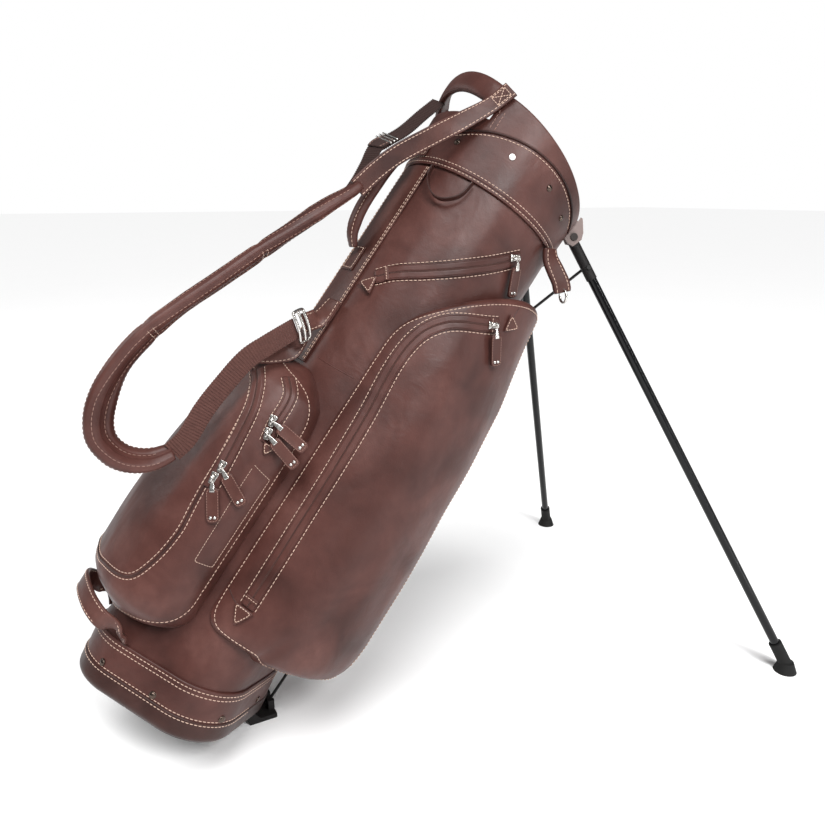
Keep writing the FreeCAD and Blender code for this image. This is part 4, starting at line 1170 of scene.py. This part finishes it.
def shoulder_pad():
    """Padded loop with two grooves down its middle, pinched in where stitch rows cross it."""
    path = [(-178, 636), (-183, 623), (-196, 595), (-213, 552), (-231, 506), (-250, 458), (-268, 413),
            (-281, 368), (-286, 327), (-280, 288), (-266, 260), (-247, 248), (-226, 247), (-205, 257),
            (-189, 276)]
    rolls = np.radians([0, 0, 0, 10, 22, 20, 20, 32, 34, 50, 48, 34, 30, 30, 30])
    points = np.array([(a, -60.0, h) for a, h in path])
    faces = []
    for i, roll in enumerate(rolls):
        ahead = points[min(i + 1, len(points) - 1)] - points[max(i - 1, 0)]
        faces.append(unit(np.cross(OUTWARD, ahead)) * math.cos(roll) + np.array(OUTWARD) * math.sin(roll))
    line, out = strap_line(points, faces, PAD_STEP)
    count = len(line)
    run = np.arange(count) / (count - 1)
    grow = 0.60 + 0.40 * np.clip(np.minimum(run, 1 - run) * count * PAD_STEP / 62, 0, 1) ** 0.7
    section = []
    for x, rise in rounded(PAD_HALF, PAD_RISE, 64, 0.85, 0.72):
        groove = 1 - 0.30 * pad_groove(x) - 0.06 * math.exp(-(x / 2.0) ** 2)
        section.append((x, rise * groove * (1 - 0.30 * math.exp(-((abs(x) - 18.2) / 2.2) ** 2))))
    puff = 1.0 + 0.035 * ripple(line, 34.0, 1.0) + 0.02 * ripple(line, 12.0, 6.0)
    for share in PAD_BANDS:
        puff = puff * (1 - 0.16 * np.exp(-((run - share) * count * PAD_STEP / 5.0) ** 2))
    puff = grow * puff
    pad = sweep("shoulder_pad_leather", line, out, section, LEATHER, scale=np.stack([grow, puff], -1),
                slot="leather", cad=["shoulder_pad"])
    _, across, out = frames(line, out)
    keep = slice(8, count - 8)
    for face in (1, -1):
        for way, reach, rise in ((-1, 15.4, 5.9), (1, 15.4, 5.9), (0, 0.0, 8.3)):
            moved = line + across * (way * reach * grow)[:, None] + out * (face * rise * puff)[:, None]
            stitch(moved[keep], unit(out * face + across * way * 0.6)[keep], kind="brown", thick=0.8)
    for share in PAD_BANDS:
        for shift in (-3.0, 3.0):
            i = int(round(share * (count - 1) + shift / PAD_STEP))
            x = np.linspace(-16.5, 16.5, 22)[:, None]
            rise = PAD_RISE * (1 - np.abs(x / PAD_HALF) ** 2.6) ** 0.5 * (1 - 0.28 * pad_groove(x))
            points = line[i] + across[i] * x * grow[i] + out[i] * rise * puff[i]
            stitch(points, unit(out[i] + across[i] * 0.5 * x / PAD_HALF), pitch=4.6, length=3.6)


def strap_box(line, out):
    """Box with a cross, sewn where the near strap is fixed to the rim."""
    _, across, facing = frames(line, out)
    box = np.array([(3, -7.0), (3, 7.0), (15, 7.0), (15, -7.0)])
    for side in polyline(box, 12, closed=True) + polyline(box[[0, 2]], 12) + polyline(box[[1, 3]], 12):
        index, shift = side.T
        at = np.round(index).astype(int)
        base_line = np.stack([np.interp(index, np.arange(len(line)), line[:, k]) for k in range(3)], -1)
        stitch(base_line + across[at] * shift[:, None] + facing[at] * 1.5, facing[at], pitch=3.6, length=2.9,
               thick=1.0)


def webbing():
    """The strap's branches: ribbed webbing, its loose tail, the anchor tab and the two ends at the rim."""
    lower = [(-189, -60, 275), (-184, -60, 295), (-185, -60, 333), (-182, -60, 367), (-176, -60, 405),
             (-164, -60, 432), (-154, -54, 448), (-143, -46, 464)]
    line, out = strap_line(lower, OUTWARD)
    ribbed("lower_webbing", line, out, 24.4, 2.6, WEBBING, ["strap_lower_webbing"])
    loose = [(-127, -32, 462), (-127, -32, 440), (-140, -34, 427), (-163, -38, 413)]
    stitched_strap("webbing_tail", loose, (-0.4, -1, 0.5), 21.6, 2.3, 2.4)
    anchor = [(-137, -42, 474), (-127, -36, 484), (-116.5, -27, 496), (-112.8, -25, 520)]
    faces = [OUTWARD, OUTWARD, (-0.8, -0.6, 0), tuple(polar(1, 192.5, 0))]
    stitched_strap("anchor_tab", anchor, faces, 23.6, 2.8, cad=["strap_anchor"])
    near = [polar(122.8, 220, 838), polar(122.4, 215, 812), (-117, -64, 776), (-140, -62, 733),
            (-160, -60, 693), (-171, -60, 662), (-178, -60, 632)]
    faces = [polar(1, 218, 0)] * 2 + [(-0.5, -0.86, 0)] + [OUTWARD] * 4
    line, out = stitched_strap("strap_branch_near", near, faces, 22.6, 3.0, cad=["strap_near"])
    strap_box(line, out)
    far = [polar(122.5, 158, 819), (-126, 35, 788), (-141, 20, 748), (-159, 5, 715), (-166, 0, 701),
           (-168, -15, 675), (-170, -25, 657), (-177, -46, 634)]
    line, out = strap_line(far, (-0.8, -0.6, 0))
    ribbed("strap_branch_far", line, out, 19.6, 2.7, DARK_WEBBING, ["strap_far"])
    strap_adjuster(line, out)
    buckle()


def buckle():
    """Steel slide between the webbing and the anchor tab: three bowed bars in a frame."""
    half, reach = 8.2, 17
    along = unit((16, 12, 20))
    across = unit(np.cross(along, OUTWARD))
    out = np.cross(across, along)
    centre = np.array([-140, -44, 469]) + out * 4.3
    pieces = []
    x = np.linspace(-reach, reach, 25)[:, None]
    for k in (-1, 0, 1):
        pieces.append(centre + along * half * k + across * x + out * 2.6 * (1 - (x / reach) ** 2))
    x = np.linspace(-half, half, 15)[:, None]
    for way in (-1, 1):
        pieces.append(centre + along * x + across * way * (reach + 1.6 * (1 - (x / half) ** 2) ** 0.5))
    for number, line in enumerate(pieces):
        sweep(f"buckle_bar_{number}", line, out, circle(1.75, 12), SILVER, slot="silver",
              cad=["slide_buckle"])


def strap_adjuster(line, out):
    """Slide on the far branch, with the doubled webbing it holds."""
    _, across, facing = frames(line, out)
    middle = int(len(line) * 0.52)
    for shift in (-4, 0, 4):
        centre = line[middle + shift] + facing[middle] * 3.6
        bar = np.array([centre - across[middle] * 12.0, centre, centre + across[middle] * 12.0])
        sweep(f"adjuster_bar_{shift + 4}", resample(bar, 2.0), facing[middle], circle(1.3, 8), SILVER,
              slot="silver")
    start, stop = middle - 2, middle + 16
    doubled = line[start:stop] + facing[start:stop] * 3.0
    sweep("adjuster_fold", doubled, facing[start:stop], flat_section(18.8, 2.2), DARK_WEBBING, slot="webbing")
    for shift in (7.0, -7.0):
        row = doubled + facing[start:stop] * 1.1 + across[start:stop] * shift
        stitch(row, facing[start:stop], kind="brown")


def carry_handle():
    """Padded handle on the spine, with the stitched patch at each of its ends."""
    carry = [(-122.4, 0, 741), (-131, 0, 724), (-138, 0, 700), (-140, 0, 665), (-139, 0, 630), (-132, 0, 604),
             (-120.6, 0, 590)]
    line, out = strap_line(carry, (-1, 0, 0))
    run = np.linspace(0, 1, len(line))
    grow = 0.62 + 0.38 * np.clip(np.minimum(run, 1 - run) * 5.5, 0, 1) ** 0.8
    swell = grow * (1 + 0.03 * ripple(line, 26.0, 8.0))
    grip = sweep("carry_handle_leather", line, out, rounded(10.6, 7.2, 28, 0.85, 0.85), LEATHER,
                 scale=np.stack([grow, swell], -1), slot="leather", cad=["carry_handle"])
    _, across, facing = frames(line, out)
    for way in (-1, 1):
        stitch(line + across * (way * 8.2 * grow)[:, None] + facing * (4.9 * grow)[:, None],
               unit(facing + across * way * 0.9))
    for number, (low, high, skin) in enumerate(((563.0, 597.0, 112.3), (731.0, 752.0, CUFF_R + 1.1))):
        degrees, rows = np.linspace(172.5, 187.5, 14), np.linspace(low, high, 16)[:, None]
        points, faces = walled(polar(skin + 1.6, degrees, rows), polar(skin, degrees, rows))
        make(f"carry_handle_patch_{number}", points, faces, LEATHER_TRIM, slot="leather", bevel=0.6)
        low, high = low + 2.6, high - 2.6
        for edge in polyline([(173.8, low), (186.2, low), (186.2, high), (173.8, high)], 12, closed=True):
            row = polar(skin + 1.7, edge[:, 0], edge[:, 1])
            stitch(row, radial(row), pitch=3.8, length=3.0)


def small_straps():
    """Towel loop under the cuff, short strap on the belly side and grab handle on the base."""
    loop = [polar(r, degrees, h) for r, degrees, h in (
        (116.6, 201, 719), (117.5, 203, 704), (118.5, 210, 689), (118.5, 216, 683.5), (118.5, 222, 686),
        (117.5, 228, 699), (116.6, 230, 719))]
    faces = [np.cross(polar(1, 216, 0), loop[min(i + 1, 6)] - loop[max(i - 1, 0)]) for i in range(7)]
    line, out = strap_line(loop, faces, 1.5)
    sweep("towel_loop_leather", line, out, flat_section(7.8, 2.0), LEATHER_DARK, slot="leather",
          cad=["towel_loop"])
    belly = [(59, -100.5, 723), (66, -104, 713), (78, -110, 704), (90, -115, 696), (99, -118, 687)]
    faces = [(0.25, -1, 0.1), (0.0, -1, 0.1), (-0.3, -0.95, 0.1), (-0.45, -0.9, 0.1), (-0.5, -0.87, 0.1)]
    line, out = strap_line(belly, faces, 1.5)
    run = np.linspace(0, 1, len(line))
    scale = np.stack([1 - 0.12 * np.clip((run - 0.9) / 0.1, 0, 1) ** 2, 1 + 0 * run], -1)
    sweep("belly_strap_leather", line, out, flat_section(23.4, 6.6, 2.6), LEATHER_TRIM, scale=scale,
          slot="leather", cad=["belly_strap"])
    edge_stitches(line, out, 23.4, 6.6, 4.2)
    half = [(-113, -44.2, 57), (-119, -47, 65), (-131, -52, 70), (-148, -52, 73), (-161, -39, 77),
            (-168, -20, 80)]
    grab = half + [(-170, 0, 81)] + [(a, -y, h) for a, y, h in half[::-1]]
    stitched_strap("base_handle_leather", grab, [unit((a, y, 0)) for a, y, h in grab], 22.6, 4.0, corner=1.3,
                   cad=["base_grab_handle"])


# ---------------------------------------------------------------- zips' sliders, pullers and end tabs

def place_at(point, along, out):
    """Matrix columns along, across, out and the point, in bag axes."""
    along = unit(along)
    out = unit(out - along * np.dot(out, along))
    return along, np.cross(out, along), out, np.asarray(point, float)


def placed(points, place):
    """Points drawn along, across and outward from a place, in bag axes."""
    along, across, out, at = place
    points = np.asarray(points, float)
    return at + points[..., 0:1] * along + points[..., 1:2] * across + points[..., 2:3] * out


def slider_mesh(name, place, body):
    """Shield-shaped cast body with a waist and side guards, under an arched bridge."""
    waist = ((-6.6, 2.2), (-6.2, 3.2), (-3.5, 3.6), (0.0, 3.5), (3.2, 4.2), (5.6, 5.0), (6.5, 4.4),
             (6.7, 3.0))
    rows = []
    for x, w in waist:
        half = [(x, -w, 0.25), (x, -w, 1.9), (x, -w * 0.82, 2.6), (x, -w * 0.3, 2.75)]
        rows.append(half + [(x, -y, z) for x, y, z in half[::-1]])
    sheet(f"zip_slider_{name}", placed(rows, place), SILVER, loop=True, ends=True, body=body, subdivide=2,
          slot="silver", cad=[f"slider_{name}"])
    half = [(-4.4, 0, 2.2), (-4.6, 0, 4.8), (-3.4, 0, 6.7)]
    bridge = spline(half + [(0, 0, 7.3)] + [(-x, y, z) for x, y, z in half[::-1]], 0.6)
    section = [(0.8 * x, 1.1 * y) for x, y in circle(1, 8)]
    sweep(f"zip_bridge_{name}", placed(bridge, place), place[1], section, SILVER, body=body, slot="silver")


def puller_mesh(name, place, body):
    """Leather puller: stitched tab with two rivets, on a flat steel ring and clasp."""
    start, stop, half = 11.0, 49.0, 6.8
    outline = []
    for x, y, first, radius in ((stop - 4, half - 4, 0, 4.0), (start + 2.5, half - 2.5, 90, 2.5),
                                (start + 2.5, 2.5 - half, 180, 2.5), (stop - 4, 4 - half, 270, 4.0)):
        for turn in (math.radians(first + 18 * k) for k in range(6)):
            outline.append((x + radius * math.cos(turn), y + radius * math.sin(turn)))
    centre = np.array([(start + stop) / 2, 0.0])
    away = np.array(outline) - centre
    reach = np.maximum(np.abs(away).max(axis=1, keepdims=True), 4)
    count = len(outline)

    def layer(z, inset, around=count):
        flat = centre + away * (1 - inset / reach)
        return np.column_stack([flat, np.full(count, z)])[np.arange(around) % count]

    layers = [layer(z, inset) for z, inset in (
        (-1.5, 0.45), (-1.05, 0.0), (1.05, 0.0), (1.5, 0.45), (1.75, 2.2), (1.6, 4.0))]
    sheet(f"zip_puller_{name}", placed(layers, place), LEATHER_TRIM, loop=True, ends=True, body=body,
          slot="leather", cad=[f"puller_{name}"])
    for z in (1.62, -1.52):
        stitch(placed(layer(z, 2.0, count + 1), place), place[2] * np.sign(z), body=body, kind="brown",
               pitch=3.0, length=2.3, thick=0.62, lift=0.12)
    heads = [(np.array([stop - 6.0, y, 1.6]), *np.eye(3), 1.75, 1.1) for y in (-2.3, 2.3)]
    points, faces = domes(heads, 12)
    make(f"puller_rivets_{name}", placed(points, place), faces, SILVER, body=body, slot="silver")
    outward = np.array([(math.cos(turn), 0, math.sin(turn)) for turn in turns(28)])
    facing = outward[:, 0:1] * place[0] + outward[:, 2:3] * place[2]
    sweep(f"puller_ring_{name}", placed(3.4 * outward, place), facing, flat_section(1.5, 1.1, 0.4), SILVER,
          body=body, closed=True, slot="silver")
    clasp = [(3.2, 0, 0.2), (6.0, 0, 0.9), (9.0, 0, 1.4), (12.5, 0, 2.1), (15.0, 0, 2.2)]
    line = placed(spline(clasp, 0.8), place)
    run = np.linspace(0, 1, len(line))
    scale = np.stack([0.55 + 0.9 * np.sin(np.clip(run * 1.4, 0, 1) * math.pi / 2), 1 + 0 * run], -1)
    sweep(f"puller_clasp_{name}", line, place[2], flat_section(3.6, 1.1, 0.45), SILVER, body=body,
          scale=scale, slot="silver")


def fittings():
    """Sliders and pullers; a slider has a point, outward, along its zip and its puller's turn."""
    ball_out, ball_low, ball_up = (-0.54, -0.84, 0.07), (-0.04, 0.11, 0.99), (-0.14, 0.2, 0.97)
    spots = (("garment_near", (23.5, -139.1, 592.5), (-0.06, -0.99, 0.12), (-0.86, 0.1, -0.49), 0),
             ("side", polar(BODY_R + 2.7, 277.5, 680), polar(1, 277.5, 0), (-0.75, 0, -0.66), 0),
             ("ball_front_low", (-143.2, -87.3, 275.6), ball_out, ball_low, 0),
             ("ball_front_high", (-142.0, -86.6, 290.5), ball_out, ball_low, 28),
             ("ball_back_low", (-121.6, -95.3, 347.3), ball_out, ball_up, 40),
             ("ball_back_high", (-123.8, -92.2, 361.9), ball_out, ball_up, 48))
    found = []
    for name, point, out, along, turn in spots:
        out, along = unit(out), unit(along)
        hang = unit(DOWN - out * np.dot(DOWN, out))
        angle = math.radians(turn)
        hang = hang * math.cos(angle) + np.cross(out, hang) * math.sin(angle)
        found.append((name, np.asarray(point, float), out, along, hang))
    name, *vectors = found[0]
    found.append(("garment_far", *[mirror(v) for v in vectors]))
    tilt = math.radians(7.0)
    for name, point, out, along, hang in found:
        slider_mesh(name, place_at(point, along, out), f"slider_{name}")
        lying = hang * math.cos(tilt) - out * math.sin(tilt)
        puller_mesh(name, place_at(point + out * 7.0, lying, out), f"puller_{name}")


def tabs():
    """Stitched three-cornered tabs at the zips' ends, as (place, outward, direction of a corner, reach)."""
    spots = (((-43.5, -125.6, 163), (-0.69, -0.72, 0), 180, 15),
             ((47, -134.9, 608), (0.1, -0.98, 0.12), 40, 13.5),
             (polar(112.6, 208, 556), polar(1, 208, 0), 220, 14),
             ((-114.2, -99.4, 334), (-0.2, -0.98, 0), 180, 9.2))
    for number, (middle, out, first, reach) in enumerate(spots):
        place = place_at(middle, np.array([0, 0, 1.0]), np.asarray(out, float))
        angles = np.radians([first, first + 120, first + 240])
        corners = reach * np.stack([np.cos(angles), np.sin(angles)], -1)
        outline = []
        for before, here, after in zip(np.roll(corners, 1, 0), corners, np.roll(corners, -1, 0)):
            start, stop = here + unit(before - here) * 2.6, here + unit(after - here) * 2.6
            for t in (0, 0.25, 0.5, 0.75, 1.0):
                outline.append((1 - t) ** 2 * start + 2 * t * (1 - t) * here + t * t * stop)
        outline = np.array(outline)
        count = len(outline)
        grid = np.array([np.column_stack([outline * size, np.full(count, z)]) for z, size in
                         ((0.1, 1.0), (1.7, 1.0), (2.1, 0.95), (2.3, 0.8))])
        faces = grid_faces(4, count, loop_cols=True) + caps(4, count)[1:]
        make(f"zip_end_tab_{number}", placed(grid.reshape(-1, 3), place), faces, LEATHER_TRIM, slot="leather",
             cad=["zip_end_tabs"])
        edge = np.vstack([outline, outline[:1]]) * 0.80
        stitch(placed(np.column_stack([edge, np.full(count + 1, 2.15)]), place), place[2], pitch=3.6,
               length=2.8, thick=0.95)


body()
base()
top()
arch()
divider()
for side_name, way in SIDES:
    garment(side_name, way)
ball()
side_pocket()
shoulder_pad()
webbing()
carry_handle()
small_straps()
fittings()
tabs()
place_studs()
sew()

# ---------------------------------------------------------------- camera, floor and light
PICTURE = 825.0                  # pixels across a picture taken by this camera
CAMERA_AT = (-0.205, -0.854, 0.671)
azimuth, elevation = math.radians(27.7), math.radians(16.2)
looking = Vector((math.sin(azimuth) * math.cos(elevation), math.cos(azimuth) * math.cos(elevation),
                  -math.sin(elevation)))
right = Vector((math.cos(azimuth), -math.sin(azimuth), 0))
upward = right.cross(looking)
camera = put("camera", bpy.data.cameras.new("camera"))
facing = Matrix((right, upward, -looking)).transposed().to_4x4()
camera.matrix_world = Matrix.Translation(CAMERA_AT) @ facing
camera.data.sensor_width = 36.0
camera.data.lens = 738.0 * camera.data.sensor_width / PICTURE
camera.data.shift_x = 1.7 / PICTURE
camera.data.shift_y = -3.8 / PICTURE
camera.data.clip_start = 0.01
camera.data.clip_end = 200.0
bpy.context.scene.camera = camera


def floor_material():
    n = Nodes("pale_floor")
    tint = n.mix(n.span(n.noise(400, 2), 0.0, 0.5), (0.965, 0.965, 0.965), (0.94, 0.94, 0.942))
    n.bumps((n.noise(3, 2), 0.05, 0.1))
    return n.done(tint, 0.85, Specular_IOR_Level=0.15)


FLOOR = 30.0
floor_mesh = bpy.data.meshes.new("floor")
floor_mesh.from_pydata([(-FLOOR, -FLOOR, 0), (FLOOR, -FLOOR, 0), (FLOOR, FLOOR, 0), (-FLOOR, FLOOR, 0)], [],
                       [(0, 1, 2, 3)])
floor_mesh.materials.append(floor_material())
put("floor", floor_mesh)


def area_light(name, place, target, size, power):
    data = bpy.data.lights.new(name, "AREA")
    data.shape = "RECTANGLE"
    data.size, data.size_y = size
    data.energy = power
    lamp = put(name, data)
    lamp.location = place
    lamp.rotation_euler = (Vector(target) - Vector(place)).to_track_quat("-Z", "Y").to_euler()


area_light("key", (0.25, -2.5, 2.2), (0.2, 0, 0.35), (0.7, 0.7), 62)
area_light("side", (1.75, -2.3, 0.95), (0.55, -0.15, 0.35), (0.07, 2.4), 16)
area_light("back", (-1.8, 2.0, 2.0), (0.1, 0, 0.3), (1.2, 1.2), 18)
sun = put("soft_sun", bpy.data.lights.new("soft_sun", "SUN"))
sun.data.energy = 3.0
sun.data.angle = math.radians(34)
sun.rotation_euler = (math.radians(24), math.radians(-16), 0)
studio = bpy.data.worlds.new("studio")
bpy.context.scene.world = studio
studio.use_nodes = True
tree = studio.node_tree
fill = tree.nodes["Background"]
fill.inputs["Color"].default_value = (1.0, 1.0, 1.0, 1)
fill.inputs["Strength"].default_value = 0.17
backdrop = tree.nodes.new("ShaderNodeBackground")
backdrop.inputs["Color"].default_value = (1.0, 1.0, 1.0, 1)
backdrop.inputs["Strength"].default_value = 1.0          # the plain white that the camera sees behind the bag
seen = tree.nodes.new("ShaderNodeLightPath")
either = tree.nodes.new("ShaderNodeMixShader")
tree.links.new(seen.outputs["Is Camera Ray"], either.inputs["Fac"])
tree.links.new(fill.outputs["Background"], either.inputs[1])
tree.links.new(backdrop.outputs["Background"], either.inputs[2])
tree.links.new(either.outputs["Shader"], tree.nodes["World Output"].inputs["Surface"])
bpy.context.scene.view_settings.view_transform = "Standard"
